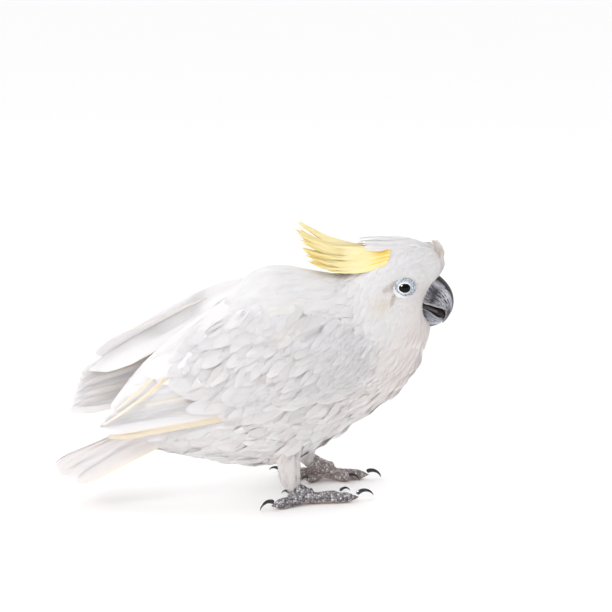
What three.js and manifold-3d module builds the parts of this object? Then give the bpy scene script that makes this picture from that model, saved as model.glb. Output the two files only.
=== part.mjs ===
// A sulphur-crested cockatoo, life size, standing on both feet with its wings a little dropped.
// Millimetres. +X is forward (bill), +Y is the bird's left, +Z is up, and the floor is Z = 0.
// Every solid reaches out to the tips of the plumage. Neighbours keep a gap of GAP.

import * as THREE from "three";
import { ParametricGeometry } from "three/addons/geometries/ParametricGeometry.js";
import { mergeVertices } from "three/addons/utils/BufferGeometryUtils.js";
import Module from "manifold-3d";

const wasm = await Module();
wasm.setup();

// ---------------------------------------------------------------- driving dimensions

const GAP = 0.32; // clearance between neighbouring solids
const RIGHT = -1; // side of the bird, as the sign of Y
const LEFT = 1;

// Body, neck and head: one skin through rings. Each ring has its highest and lowest point on the
// median plane (x, z) and its half width.
const BODY_RINGS = [
  { top: [-136, 82], bottom: [-136, 82], half: 0 },
  { top: [-122, 104], bottom: [-120, 63], half: 23 },
  { top: [-101, 134], bottom: [-94, 52], half: 35 },
  { top: [-76, 167], bottom: [-66, 46.5], half: 46 },
  { top: [-50, 197], bottom: [-38, 39.5], half: 54 },
  { top: [-25, 223], bottom: [-8, 34.5], half: 58 },
  { top: [-3, 240], bottom: [22, 34], half: 60 },
  { top: [17, 248], bottom: [52, 44], half: 61 },
  { top: [37, 246.5], bottom: [84, 61], half: 59 },
  { top: [56, 243], bottom: [116, 83], half: 55 },
  { top: [71, 239], bottom: [143, 102], half: 50 },
  { top: [84, 237], bottom: [162, 117], half: 45 },
  { top: [95, 238], bottom: [172, 135], half: 41 },
  { top: [105, 243], bottom: [181, 154], half: 38 },
  { top: [118, 253], bottom: [187, 168], half: 33 },
  { top: [134, 264.5], bottom: [187, 180], half: 29.5 },
  { top: [153, 273], bottom: [181, 187], half: 26 },
  { top: [170, 272], bottom: [177, 202], half: 22.5 },
  { top: [184, 264], bottom: [181.5, 211], half: 17.5 },
  { top: [193.5, 252], bottom: [190.5, 226], half: 11 },
  { top: [198.5, 240], bottom: [198.5, 240], half: 0 },
];
const BODY_SQUARENESS = 2.25; // superellipse exponent of each ring
const BODY_AROUND = 18;
const BODY_ALONG = 27;
const NECK_ROOT_RING = 9; // the trunk ends at this ring
const NECK_HEAD_RING = 13.4; // the head begins at this one

// Eyes
const EYE = { x: 154, y: 23.6, z: 226, radius: 7.2 };
const EYELID = { radius: 8.6, tube: 2.1, y: 27.2 };

// Bill: hooked upper mandible over a scooped lower one. outer is the culmen (or chin), inner the
// cutting edge, and half the half width there.
const UPPER_BILL = [
  { outer: [184, 238], inner: [170, 212], half: 9.5 },
  { outer: [194.9, 233.6], inner: [177.7, 205.6], half: 12.6 },
  { outer: [204.2, 225], inner: [184.4, 203.6], half: 12.4 },
  { outer: [210, 215.2], inner: [190.4, 201.2], half: 11.2 },
  { outer: [212, 205.2], inner: [196, 199.4], half: 9.2 },
  { outer: [210.6, 196], inner: [202, 196.6], half: 6.4 },
  { outer: [207.2, 189.2], inner: [203, 190.4], half: 4.2 },
  { outer: [203.4, 183.8], inner: [201.4, 185.6], half: 2.2 },
  { outer: [199.8, 181.2], inner: [199.8, 181.2], half: 0 },
];
const LOWER_BILL = [
  { outer: [174, 181], inner: [166, 202], half: 8 },
  { outer: [182.6, 178.2], inner: [176, 200.4], half: 10.4 },
  { outer: [188, 178.4], inner: [184.2, 196], half: 10.6 },
  { outer: [193.2, 179.8], inner: [190, 191.8], half: 9.4 },
  { outer: [196.2, 181.4], inner: [194.6, 188.6], half: 7 },
  { outer: [198.2, 183.6], inner: [197.8, 186.8], half: 3.6 },
  { outer: [198.9, 185.4], inner: [198.9, 185.4], half: 0 },
];
const TONGUE = { from: [170, 203.6], to: [195.5, 194.2], half: 6, thick: 4.4 };

// Crest: two rows of blades that rise from the crown, lie back over the nape and curl up at the tip.
const CREST = {
  rows: [-1, 1],
  perRow: 4,
  root: { top: [158, 271], bottom: [138, 257], y: 5 },
  middle: { top: [98, 261], bottom: [98, 243], y: 9 },
  tip: { top: [45, 296], bottom: [56, 249], y: 11 },
  halfWidth: 7.6,
  halfThick: 0.7,
};
const FORELOCK = {
  root: [197, 234],
  middle: [207, 254],
  tip: [188, 274],
  halfWidth: 5,
  halfThick: 0.6,
  spread: 6.5,
};
const PLUME_BLUNT = 2.4; // how square the ends of the crest's and the forelock's blades are

// Wings: the outside of both folded wings lies on one surface, an ellipse at each x.
const WING_SURFACE = [
  // x, half width, height of its centre, half height
  { x: 132, wide: 34, mid: 158, high: 60 },
  { x: 112, wide: 55, mid: 155, high: 72 },
  { x: 85, wide: 67, mid: 150, high: 86 },
  { x: 40, wide: 76, mid: 146, high: 98 },
  { x: -10, wide: 76, mid: 138, high: 98 },
  { x: -60, wide: 68, mid: 125, high: 94 },
  { x: -110, wide: 58, mid: 112, high: 84 },
  { x: -160, wide: 50, mid: 99, high: 76 },
  { x: -215, wide: 43, mid: 90, high: 70 },
];
// Shoulder and coverts: a pad with its upper and lower edge at each x.
const COVERTS = [
  { x: 123, top: 154, bottom: 150 },
  { x: 112, top: 177, bottom: 133 },
  { x: 85, top: 199, bottom: 121 },
  { x: 40, top: 217, bottom: 114 },
  { x: 2, top: 217, bottom: 106 },
  { x: -30, top: 208, bottom: 116 },
  { x: -58, top: 190, bottom: 132 },
  { x: -80, top: 168, bottom: 152 },
];
// Depth of the pad's rim and of its inner face below the wing surface.
const COVERTS_PAD = { edge: 3, middle: 24 };
// Flight feathers: half thickness, how far one group lies under the next, and how square their ends are.
const QUILL = { halfThick: 0.7, layer: 4.3, blunt: 4, tertialBlunt: 3.4 };

// Flight feathers of each wing as fans between a first and a last feather: root, tip (x, z) on the
// wing surface, half width, and sag, how far the middle bows downwards.
const WINGS = {
  right: {
    side: RIGHT,
    lift: 0, // how much higher the rear of the pad is held
    secondaries: {
      count: 6,
      root: [[58, 136], [-8, 196]],
      tip: [[-22, 103], [-122, 150]],
      half: [13, 14],
      sag: [-3, 6],
    },
    primaries: {
      count: 4,
      root: [[10, 124], [-20, 158]],
      tip: [[-171, 88], [-142, 124]],
      half: [11, 12],
      sag: [0, 4],
    },
    tertials: {
      count: 3,
      root: [[12, 36, 210], [8, 18, 226]],
      middle: [[-68, 42, 172], [-60, 24, 192]],
      tip: [[-154, 36, 108], [-136, 18, 128]],
      half: 13,
      lean: [1.1, 0.4],
    },
  },
  left: {
    side: LEFT,
    lift: 9,
    secondaries: {
      count: 6,
      root: [[58, 136], [-8, 208]],
      tip: [[-30, 106], [-166, 150]],
      half: [13, 16],
      sag: [-3, -3],
    },
    primaries: {
      count: 4,
      root: [[10, 124], [-24, 176]],
      tip: [[-196, 90], [-181, 130]],
      half: [11, 13],
      sag: [0, 0],
    },
    tertials: {
      count: 3,
      root: [[12, 40, 220], [8, 16, 228]],
      middle: [[-70, 43, 200], [-66, 18, 187]],
      tip: [[-177, 38, 132], [-160, 12, 137]],
      half: 15,
      lean: [-0.6, -0.6],
    },
  },
};

// Tail: a roof of feathers, the middle ones highest.
const TAIL = {
  count: 7,
  root: { x: -82, z: 90, halfSpread: 15 },
  tip: { x: -212, z: 48, halfSpread: 27 },
  tipRound: 13, // how much shorter the outer feathers are
  drop: 17, // how far the outer feathers lie below the middle ones
  halfWidth: 10.5,
  halfThick: 0.8,
  blunt: 5,
};

// Legs, by side: the thigh's plumage from the belly to the ankle, and the middle of the foot.
const LEGS = {
  right: {
    side: RIGHT,
    thigh: [
      { x: 25, y: 20, z: 108, r: 0 },
      { x: 26, y: 22, z: 98, r: 12 },
      { x: 27, y: 25, z: 84, r: 16 },
      { x: 28.5, y: 29, z: 68, r: 16 },
      { x: 30, y: 34, z: 54, r: 14 },
      { x: 30.7, y: 37.5, z: 42, r: 12 },
      { x: 31, y: 38, z: 28, r: 11.2 },
      { x: 33, y: 38, z: 19.5, r: 9 },
      { x: 35, y: 38, z: 15, r: 6 },
      { x: 36, y: 38, z: 12, r: 0 },
    ],
    shank: [[31, 29], [36, 18], [48, 9.5], [60, 7.5]],
    foot: [48, 40],
    heel: 9.2,
    toes: {
      2: { end: [90, 23], radius: 5.2, claw: { radius: 7.6, from: 142, to: 28 } },
      3: { end: [106, 40], radius: 5.8, claw: { radius: 10.6, from: 142, to: 28 } },
      4: { end: [9, 58], radius: 5.6, claw: { radius: 10.4, from: 128, to: 12 } },
      1: { end: [31, 19], radius: 4.6, claw: { radius: 7, from: 132, to: 20 } },
    },
  },
  left: {
    side: LEFT,
    thigh: [
      { x: 46, y: 20, z: 108, r: 0 },
      { x: 47.5, y: 22, z: 98, r: 12 },
      { x: 50, y: 26, z: 84, r: 16 },
      { x: 53.5, y: 31, z: 68, r: 16 },
      { x: 56.5, y: 37, z: 54, r: 14 },
      { x: 58.3, y: 42, z: 42, r: 12.4 },
      { x: 59, y: 43.5, z: 31, r: 11 },
      { x: 61, y: 44, z: 23, r: 8.6 },
      { x: 63, y: 44, z: 19, r: 5.6 },
      { x: 64, y: 44, z: 16.5, r: 0 },
    ],
    shank: [[60, 32], [65, 23], [82, 11.5], [95, 9]],
    foot: [82, 46],
    heel: 11,
    toes: {
      2: { end: [109, 31], radius: 5.2, claw: { radius: 8, from: 122, to: 15 } },
      3: { end: [130, 40], radius: 5.8, claw: { radius: 10.4, from: 122, to: 13 } },
      4: { end: [30, 66], radius: 5.6, claw: { radius: 8, from: 128, to: 36 } },
      1: { end: [58, 30], radius: 4.6, claw: { radius: 7, from: 132, to: 20 } },
    },
  },
};
const ANKLE_RADIUS = 7.6;
const TOE_CENTRE = 0.86; // height of a toe's middle, in toe radii, so that its sole is cut flat by the floor
// A claw is an arc, in degrees from its toe's heading, that springs from the top of the toe's end.
const CLAW = { halfWidth: 2, halfHeight: 2.6, size: 11, root: 1.4, setBack: 3.4 };

// ---------------------------------------------------------------- colours

const MATERIALS = {
  plumage: new THREE.MeshStandardMaterial({ color: 0xecebea, roughness: 0.85, metalness: 0 }),
  crest: new THREE.MeshStandardMaterial({ color: 0xf2df8e, roughness: 0.8, metalness: 0 }),
  horn: new THREE.MeshStandardMaterial({ color: 0x4a4a50, roughness: 0.5, metalness: 0 }),
  claw: new THREE.MeshStandardMaterial({ color: 0x23252b, roughness: 0.35, metalness: 0 }),
  scales: new THREE.MeshStandardMaterial({ color: 0x8c8a8c, roughness: 0.75, metalness: 0 }),
  eye: new THREE.MeshStandardMaterial({ color: 0x0d0a09, roughness: 0.08, metalness: 0 }),
  bareSkin: new THREE.MeshStandardMaterial({ color: 0xdfe4ea, roughness: 0.6, metalness: 0 }),
  tongue: new THREE.MeshStandardMaterial({ color: 0x2e2c30, roughness: 0.45, metalness: 0 }),
};

// ---------------------------------------------------------------- solids from surfaces

// A closed solid from a three.js geometry: shared vertices merged, empty triangles dropped, faces out.
function solid(geometry) {
  const bare = new THREE.BufferGeometry().setAttribute("position", geometry.getAttribute("position"));
  bare.setIndex(geometry.index);
  const merged = mergeVertices(bare, 1e-3);
  const index = merged.index.array;
  const kept = [];
  for (let i = 0; i < index.length; i += 3) {
    const [a, b, c] = [index[i], index[i + 1], index[i + 2]];
    if (a !== b && b !== c && a !== c) kept.push(a, b, c);
  }
  const vertProperties = merged.attributes.position.array;
  const build = (triangles) =>
    new wasm.Manifold(new wasm.Mesh({ numProp: 3, vertProperties, triVerts: new Uint32Array(triangles) }));
  const made = build(kept);
  if (made.volume() > 0) return made;
  const turned = [];
  for (let i = 0; i < kept.length; i += 3) turned.push(kept[i], kept[i + 2], kept[i + 1]);
  return build(turned);
}

const join = (solids) => solids.reduce((a, b) => a.add(b));

// The largest body of a solid that a cut may have left in pieces.
function largest(cut) {
  const bodies = cut.decompose();
  return bodies.reduce((a, b) => (b.volume() > a.volume() ? b : a));
}

// A loft closed at both ends: centre, across and up give each section's middle and half axes at
// t = 0 to 1, and squareness its superellipse exponent. Sections at 0 and 1 shrink to a point.
function loft({ centre, across, up, around, along, squareness = 2, phase = 0 }) {
  const power = 2 / squareness;
  const bent = (value) => Math.sign(value) * Math.abs(value) ** power;
  const place = (u, t, target) => {
    const angle = 2 * Math.PI * u + phase;
    const closed = t <= 0 || t >= 1 ? 0 : 1;
    target.copy(centre(t));
    target.addScaledVector(across(t), closed * bent(Math.cos(angle)));
    target.addScaledVector(up(t), closed * bent(Math.sin(angle)));
  };
  return solid(new ParametricGeometry(place, around, along));
}

const inPlane = ([x, z], y = 0) => new THREE.Vector3(x, y, z);
const mix = THREE.MathUtils.lerp;
const mixPair = (a, b, f) => [mix(a[0], b[0], f), mix(a[1], b[1], f)];

// A smooth curve through values given one for each ring, read by ring fraction t = 0 to 1.
function through(points) {
  const curve = new THREE.CatmullRomCurve3(points, false, "catmullrom", 0.5);
  return (t) => curve.getPoint(THREE.MathUtils.clamp(t, 0, 1));
}
const throughNumbers = (values) => {
  const read = through(values.map((v, i) => new THREE.Vector3(v, i, 0)));
  return (t) => Math.max(0, read(t).x);
};

// ---------------------------------------------------------------- body, neck and head

const bodyTop = through(BODY_RINGS.map((ring) => inPlane(ring.top)));
const bodyBottom = through(BODY_RINGS.map((ring) => inPlane(ring.bottom)));
const bodyHalf = throughNumbers(BODY_RINGS.map((ring) => ring.half));

function makeBody(grow) {
  const axis = (t) => bodyTop(t).sub(bodyBottom(t)).multiplyScalar(0.5);
  return loft({
    centre: (t) => bodyTop(t).add(bodyBottom(t)).multiplyScalar(0.5),
    across: (t) => new THREE.Vector3(0, bodyHalf(t) + grow, 0),
    up: (t) => {
      const half = axis(t);
      return half.setLength(half.length() + grow);
    },
    around: BODY_AROUND,
    along: BODY_ALONG,
    squareness: BODY_SQUARENESS,
  });
}

// A block whose face lies across the body at a ring, on its head side (1) or its tail side (-1).
function beyondRing(ring, headSide) {
  const size = 700;
  const t = ring / (BODY_RINGS.length - 1);
  const up = bodyTop(t).sub(bodyBottom(t)).normalize();
  const forward = new THREE.Vector3(up.z, 0, -up.x).multiplyScalar(headSide);
  const block = new THREE.BoxGeometry(size, size, size);
  const turn = new THREE.Matrix4().makeBasis(forward, new THREE.Vector3(0, headSide, 0), up);
  const middle = bodyTop(t).add(bodyBottom(t)).multiplyScalar(0.5);
  middle.addScaledVector(forward, size / 2 + GAP / 2);
  return solid(block.applyMatrix4(turn.setPosition(middle)));
}

// ---------------------------------------------------------------- eyes, bill and tongue

const sphereAt = (x, y, z, radius) => solid(new THREE.SphereGeometry(radius, 10, 7).translate(x, y, z));
const makeEye = (side) => (grow) => sphereAt(EYE.x, side * EYE.y, EYE.z, EYE.radius + grow);

const makeEyelid = (side) => (grow) => {
  const ring = new THREE.TorusGeometry(EYELID.radius, EYELID.tube + grow, 4, 12);
  return solid(ring.scale(1.12, 0.94, 1).rotateX(Math.PI / 2).translate(EYE.x, side * EYELID.y, EYE.z));
};

const makeMandible = (rings, ridge) => (grow) => {
  const outer = through(rings.map((ring) => inPlane(ring.outer)));
  const inner = through(rings.map((ring) => inPlane(ring.inner)));
  const half = throughNumbers(rings.map((ring) => ring.half));
  const place = (u, t, target) => {
    const angle = 2 * Math.PI * u;
    const closed = t <= 0 || t >= 1 ? 0 : 1;
    const [a, b] = [outer(t), inner(t)];
    const axis = a.clone().sub(b).multiplyScalar(0.5);
    axis.setLength(axis.length() + grow);
    const narrowing = 1 - ridge * Math.cos(angle); // narrow along the ridge, wide at the cutting edge
    target.copy(a.add(b).multiplyScalar(0.5)).addScaledVector(axis, closed * Math.cos(angle));
    target.y += closed * (half(t) + grow) * narrowing * Math.sin(angle);
  };
  return solid(new ParametricGeometry(place, 10, 10));
};

function makeTongue(grow) {
  const line = new THREE.LineCurve3(inPlane(TONGUE.from), inPlane(TONGUE.to));
  const rounded = (t) => Math.sqrt(Math.max(0, 1 - (2 * t - 1) ** 6));
  return loft({
    centre: (t) => line.getPoint(t),
    across: (t) => new THREE.Vector3(0, TONGUE.half * rounded(t) + grow, 0),
    up: (t) => new THREE.Vector3(0, 0, TONGUE.thick * rounded(t) + grow),
    around: 6,
    along: 5,
  });
}

// ---------------------------------------------------------------- feathers

// One feather as a thin blade of rectangular section along a curve, its sections closer together at
// the rounded ends. flat(t, point) is the direction that its face looks in.
function blade({ curve, flat, halfWidth, halfThick, grow, blunt = 3 }) {
  const spaced = (t) => 0.5 - 0.5 * Math.cos(Math.PI * THREE.MathUtils.clamp(t, 0, 1));
  const outline = (t) => Math.sqrt(Math.max(0, 1 - Math.abs(2 * t - 1) ** blunt));
  const frame = (t) => {
    const along = curve.getTangent(t);
    const face = flat(t, curve.getPoint(t)).normalize();
    const width = new THREE.Vector3().crossVectors(face, along).normalize();
    return { width, face: new THREE.Vector3().crossVectors(along, width) };
  };
  const reach = (t) => halfWidth * outline(spaced(t)) + grow;
  return loft({
    centre: (t) => curve.getPoint(spaced(t)),
    across: (t) => frame(spaced(t)).width.multiplyScalar(Math.SQRT2 * reach(t)),
    up: (t) => frame(spaced(t)).face.multiplyScalar(Math.SQRT2 * (halfThick + grow)),
    around: 4,
    along: 5,
    phase: Math.PI / 4,
  });
}

function makeCrest(grow) {
  const shape = { halfWidth: CREST.halfWidth, halfThick: CREST.halfThick, grow, blunt: PLUME_BLUNT };
  const spots = [CREST.root, CREST.middle, CREST.tip];
  const blades = [];
  for (const row of CREST.rows) {
    for (let i = 0; i < CREST.perRow; i++) {
      const f = i / (CREST.perRow - 1);
      const aside = row * mix(0.3, 1, f);
      const points = spots.map((spot) => inPlane(mixPair(spot.top, spot.bottom, f ** 1.1), aside * spot.y));
      const curve = new THREE.QuadraticBezierCurve3(...points);
      const flat = () => new THREE.Vector3(0, row, 0.3);
      blades.push(blade({ ...shape, curve, flat }));
    }
  }
  // one middle blade along the top ties the two rows together
  const ridge = new THREE.QuadraticBezierCurve3(...spots.map((spot) => inPlane(spot.top)));
  const level = () => new THREE.Vector3(0, 0, 1);
  blades.push(blade({ ...shape, curve: ridge, flat: level, halfWidth: 0.8 * CREST.halfWidth }));
  return join(blades);
}

function makeForelock(grow) {
  const shape = { halfWidth: FORELOCK.halfWidth, halfThick: FORELOCK.halfThick, grow, blunt: PLUME_BLUNT };
  const blades = [-1, 0, 1].map((place) => {
    const y = place * FORELOCK.spread;
    const curve = new THREE.QuadraticBezierCurve3(
      inPlane(FORELOCK.root, y * 0.5),
      inPlane(FORELOCK.middle, y),
      inPlane(FORELOCK.tip, y * 0.8),
    );
    const flat = () => new THREE.Vector3(0.8, place * 0.4, 0.6);
    return blade({ ...shape, curve, flat });
  });
  return join(blades);
}

// ---------------------------------------------------------------- wings

// Half width, centre height and half height of the wing surface at x.
function wingSection(x) {
  const rows = WING_SURFACE;
  const after = Math.max(1, rows.findIndex((row) => row.x <= x));
  const [a, b] = [rows[after - 1], rows[after]];
  const f = THREE.MathUtils.smootherstep(THREE.MathUtils.clamp((a.x - x) / (a.x - b.x), 0, 1), 0, 1);
  const soft = mix(THREE.MathUtils.clamp((a.x - x) / (a.x - b.x), 0, 1), f, 0.4);
  return { wide: mix(a.wide, b.wide, soft), mid: mix(a.mid, b.mid, soft), high: mix(a.high, b.high, soft) };
}

// The point of the wing surface at (x, z), pushed in by depth.
function onWing(side, x, z, depth = 0) {
  const { wide, mid: middle, high } = wingSection(x);
  const height = THREE.MathUtils.clamp((z - middle) / high, -0.97, 0.97);
  return new THREE.Vector3(x, side * (wide * Math.sqrt(1 - height * height) - depth), z);
}

function wingNormal(side, x, z) {
  const step = 2;
  const along = onWing(side, x + step, z).sub(onWing(side, x - step, z));
  const up = onWing(side, x, z + step).sub(onWing(side, x, z - step));
  return along.cross(up).multiplyScalar(-side).normalize();
}

function makePad(side, lift, grow) {
  const raised = (row) => lift * THREE.MathUtils.clamp((60 - row.x) / 120, 0, 1);
  const edge = through(
    COVERTS.map((row) => new THREE.Vector3(row.x, row.bottom + raised(row) / 2, row.top + raised(row))),
  );
  const place = (u, t, target) => {
    const angle = 2 * Math.PI * u;
    const closed = t <= 0 || t >= 1 ? 0 : 1;
    const at = edge(t);
    at.x += t <= 0 ? 2 * grow : t >= 1 ? -2 * grow : 0;
    const high = Math.max(1, (at.z - at.y) / 2) + grow;
    const across = Math.cos(angle) * closed;
    const z = (at.y + at.z) / 2 + high * across;
    const rim = Math.max(Math.abs(across), 1 - closed) ** 6; // 1 at the pad's edge, 0 over most of its face
    const reach = COVERTS_PAD.middle * Math.min(1, 0.25 + high / 55);
    const inner = mix(COVERTS_PAD.edge, reach, Math.sqrt(Math.max(0, 1 - across * across)) * closed);
    const depth = Math.sin(angle) > 0 ? COVERTS_PAD.edge * rim - grow : inner + grow;
    target.copy(onWing(side, at.x, z, closed ? depth : COVERTS_PAD.edge));
  };
  return solid(new ParametricGeometry(place, 12, 9));
}

// The pad's faces slope, so that a cutter for its neighbours grows by more than the gap.
const makeCoverts = (side, lift) => (grow) => {
  const pad = makePad(side, lift, 0);
  return grow ? makePad(side, lift, 2 * grow).add(pad) : pad;
};

// A fan of flight feathers, each on the wing surface, the later ones overlapping the earlier.
const makeFan = (side, fan, layer) => (grow) => {
  const blades = [];
  for (let i = 0; i < fan.count; i++) {
    const f = i / (fan.count - 1);
    const [root, tip] = [mixPair(...fan.root, f), mixPair(...fan.tip, f)];
    const sag = mix(...fan.sag, f);
    const depth = layer - i * 0.25;
    const points = [0, 0.25, 0.5, 0.75, 1].map((t) => {
      const [x, z] = mixPair(root, tip, t);
      return onWing(side, x, z - sag * 4 * t * (1 - t), depth);
    });
    blades.push(
      blade({
        curve: new THREE.CatmullRomCurve3(points),
        flat: (t, at) => wingNormal(side, at.x, at.z),
        halfWidth: mix(...fan.half, f),
        halfThick: QUILL.halfThick,
        grow,
        blunt: QUILL.blunt,
      }),
    );
  }
  return join(blades);
};

// The innermost flight feathers, which roof the back over.
const makeTertials = (side, fan) => (grow) => {
  const shape = { halfWidth: fan.half, halfThick: QUILL.halfThick, grow, blunt: QUILL.tertialBlunt };
  const blades = [];
  for (let i = 0; i < fan.count; i++) {
    const f = i / (fan.count - 1);
    const at = ([first, last]) => {
      const [x, y, z] = first.map((value, k) => mix(value, last[k], f));
      return new THREE.Vector3(x, side * y, z);
    };
    const curve = new THREE.CatmullRomCurve3([at(fan.root), at(fan.middle), at(fan.tip)]);
    const flat = () => new THREE.Vector3(-0.3, side * mix(...fan.lean, f), 1);
    blades.push(blade({ ...shape, curve, flat }));
  }
  return join(blades);
};

// ---------------------------------------------------------------- tail

function makeTail(grow) {
  const blades = [];
  for (let i = 0; i < TAIL.count; i++) {
    const place = (2 * i) / (TAIL.count - 1) - 1; // -1 right edge to 1 left edge
    const out = Math.abs(place);
    const end = (spot, shorter) =>
      new THREE.Vector3(
        spot.x + shorter * out ** 2,
        place * spot.halfSpread,
        spot.z - (TAIL.drop * out ** 1.6 * spot.halfSpread) / TAIL.tip.halfSpread - 0.4 * out,
      );
    const [root, tip] = [end(TAIL.root, 0), end(TAIL.tip, TAIL.tipRound)];
    const middle = root.clone().lerp(tip, 0.55).add(new THREE.Vector3(0, 0, 2));
    blades.push(
      blade({
        curve: new THREE.CatmullRomCurve3([root, middle, tip]),
        flat: () => new THREE.Vector3(0.3, place * 0.6, 1),
        halfWidth: TAIL.halfWidth,
        halfThick: TAIL.halfThick,
        grow,
        blunt: TAIL.blunt,
      }),
    );
  }
  return join(blades);
}

// ---------------------------------------------------------------- legs and feet

const makeThigh = (leg) => (grow) => {
  const middle = through(leg.thigh.map((ring) => new THREE.Vector3(ring.x, leg.side * ring.y, ring.z)));
  const radius = throughNumbers(leg.thigh.map((ring) => ring.r));
  const endUp = (t) => new THREE.Vector3(0, 0, t <= 0 ? grow : t >= 1 ? -grow : 0);
  return loft({
    centre: (t) => middle(t).add(endUp(t)),
    across: (t) => new THREE.Vector3(0, radius(t) + grow, 0),
    up: (t) => new THREE.Vector3(radius(t) + grow, 0, 0),
    around: 10,
    along: 8,
  });
};

const belowFloor = () => solid(new THREE.BoxGeometry(600, 600, 60).translate(0, 0, -30));

// The short bare shank and the pad it stands on.
const makeShank = (leg) => (grow) => {
  const [ankleY, footY] = [leg.thigh[leg.thigh.length - 1].y, leg.foot[1]];
  const along = leg.shank.map(([x, z], i) => new THREE.Vector3(x, leg.side * mix(ankleY, footY, i / 3), z));
  const curve = new THREE.CatmullRomCurve3(along);
  const radius = (t) => mix(ANKLE_RADIUS, leg.heel, t) * Math.sqrt(Math.max(0, 1 - (2 * t - 1) ** 6)) + grow;
  return loft({
    centre: (t) => curve.getPoint(t),
    across: (t) => new THREE.Vector3(0, radius(t), 0),
    up: (t) => curve.getTangent(t).cross(new THREE.Vector3(0, 1, 0)).setLength(radius(t)),
    around: 8,
    along: 6,
  });
};

// Heading of a toe over the floor, from the middle of the foot, and the direction across it.
function toeFrame(leg, toe) {
  const start = new THREE.Vector3(leg.foot[0], leg.side * leg.foot[1], leg.shank[2][1] - 2.5);
  const end = new THREE.Vector3(toe.end[0], leg.side * toe.end[1], toe.radius * TOE_CENTRE);
  const heading = end.clone().sub(start).setZ(0).normalize();
  return { start, end, heading, width: new THREE.Vector3(-heading.y, heading.x, 0) };
}

const makeToe = (leg, toe) => (grow) => {
  const { start, end, width } = toeFrame(leg, toe);
  const low = start.clone().lerp(end, 0.4).setZ(toe.radius * TOE_CENTRE);
  const curve = new THREE.QuadraticBezierCurve3(start, low, end);
  const pads = (t) => 1 + 0.07 * Math.cos(7 * Math.PI * t);
  const ends = (t) => Math.sqrt(Math.max(0, 1 - (2 * t - 1) ** 10));
  const radius = (t) => toe.radius * mix(1.16, 0.92, t) * pads(t) * ends(t) + grow;
  return loft({
    centre: (t) => curve.getPoint(t),
    across: (t) => width.clone().multiplyScalar(radius(t)),
    up: (t) => new THREE.Vector3(0, 0, radius(t)),
    around: 7,
    along: 5,
  });
};

const makeClaw = (leg, toe) => (grow) => {
  const { end, heading, width } = toeFrame(leg, toe);
  const { radius, from, to } = toe.claw;
  const angle = (t) => THREE.MathUtils.degToRad(mix(from, to, t));
  const size = radius / CLAW.size;
  const centre = end.clone().addScaledVector(heading, -CLAW.setBack - radius * Math.cos(angle(0)));
  centre.setZ(toe.radius * CLAW.root - radius * Math.sin(angle(0)));
  const outward = (t) => heading.clone().multiplyScalar(Math.cos(angle(t))).setZ(Math.sin(angle(t)));
  const taper = (t) => mix(1, 0.2, t ** 1.4) * size;
  return loft({
    centre: (t) => centre.clone().addScaledVector(outward(t), radius),
    across: (t) => width.clone().multiplyScalar(CLAW.halfWidth * taper(t) + grow),
    up: (t) => outward(t).multiplyScalar(CLAW.halfHeight * taper(t) + grow),
    around: 5,
    along: 6,
  });
};

// ---------------------------------------------------------------- the parts, in order of precedence

// Each part is a function of grow. A later part is cut back from the earlier ones that it touches.
const parts = new Map();
function part(name, material, make, cutBy = [], finish = (s) => s) {
  const cutters = cutBy.map((other) => parts.get(other).make(GAP));
  const made = cutters.length ? make(0).subtract(join(cutters)) : make(0);
  parts.set(name, { material, make, solid: largest(finish(made)) });
}

const sides = [["right", RIGHT], ["left", LEFT]];
const onFloor = (s) => s.subtract(belowFloor());

for (const [word, side] of sides) part(`eye_${word}`, "eye", makeEye(side));
for (const [word, side] of sides) part(`eyelid_${word}`, "bareSkin", makeEyelid(side), [`eye_${word}`]);
part("bill_upper", "horn", makeMandible(UPPER_BILL, 0.3));
part("bill_lower", "horn", makeMandible(LOWER_BILL, 0.12), ["bill_upper"]);
part("tongue", "tongue", makeTongue, ["bill_upper", "bill_lower"]);

const FACE = ["eye_right", "eye_left", "eyelid_right", "eyelid_left", "bill_upper", "bill_lower", "tongue"];
part("body", "plumage", makeBody, FACE);
const body = parts.get("body").solid;
const cutBody = (...blocks) => largest(blocks.reduce((s, block) => s.intersect(block), body));
const divided = {
  trunk: cutBody(beyondRing(NECK_ROOT_RING, -1)),
  neck: cutBody(beyondRing(NECK_ROOT_RING, 1), beyondRing(NECK_HEAD_RING, -1)),
  head: cutBody(beyondRing(NECK_HEAD_RING, 1)),
};

part("crest", "crest", makeCrest, ["body"]);
part("forelock", "plumage", makeForelock, ["body", "bill_upper"]);
part("tail", "plumage", makeTail, ["body"]);
for (const [word, side] of sides) {
  const wing = WINGS[word];
  const groups = ["coverts", "secondaries", "primaries", "tertials"];
  const [coverts, secondaries, primaries, tertials] = groups.map((group) => `wing_${word}_${group}`);
  const under = ["body", "tail", coverts, secondaries];
  part(coverts, "plumage", makeCoverts(side, wing.lift), ["body"]);
  part(secondaries, "plumage", makeFan(side, wing.secondaries, QUILL.layer), ["body", coverts]);
  part(primaries, "plumage", makeFan(side, wing.primaries, 2 * QUILL.layer), under);
  part(tertials, "plumage", makeTertials(side, wing.tertials), [...under, primaries]);
}
for (const [word] of sides) {
  const leg = LEGS[word];
  part(`thigh_${word}`, "plumage", makeThigh(leg), ["body"], onFloor);
  part(`shank_${word}`, "scales", makeShank(leg), ["body", `thigh_${word}`], onFloor);
  for (const [number, toe] of Object.entries(leg.toes)) {
    const others = [...parts.keys()].filter((name) => name.startsWith(`toe_${word}_`));
    const [toeName, clawName] = [`toe_${word}_${number}`, `claw_${word}_${number}`];
    part(toeName, "scales", makeToe(leg, toe), [`thigh_${word}`, `shank_${word}`, ...others], onFloor);
    part(clawName, "claw", makeClaw(leg, toe), [toeName], onFloor);
  }
}

// ---------------------------------------------------------------- the group of meshes

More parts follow.
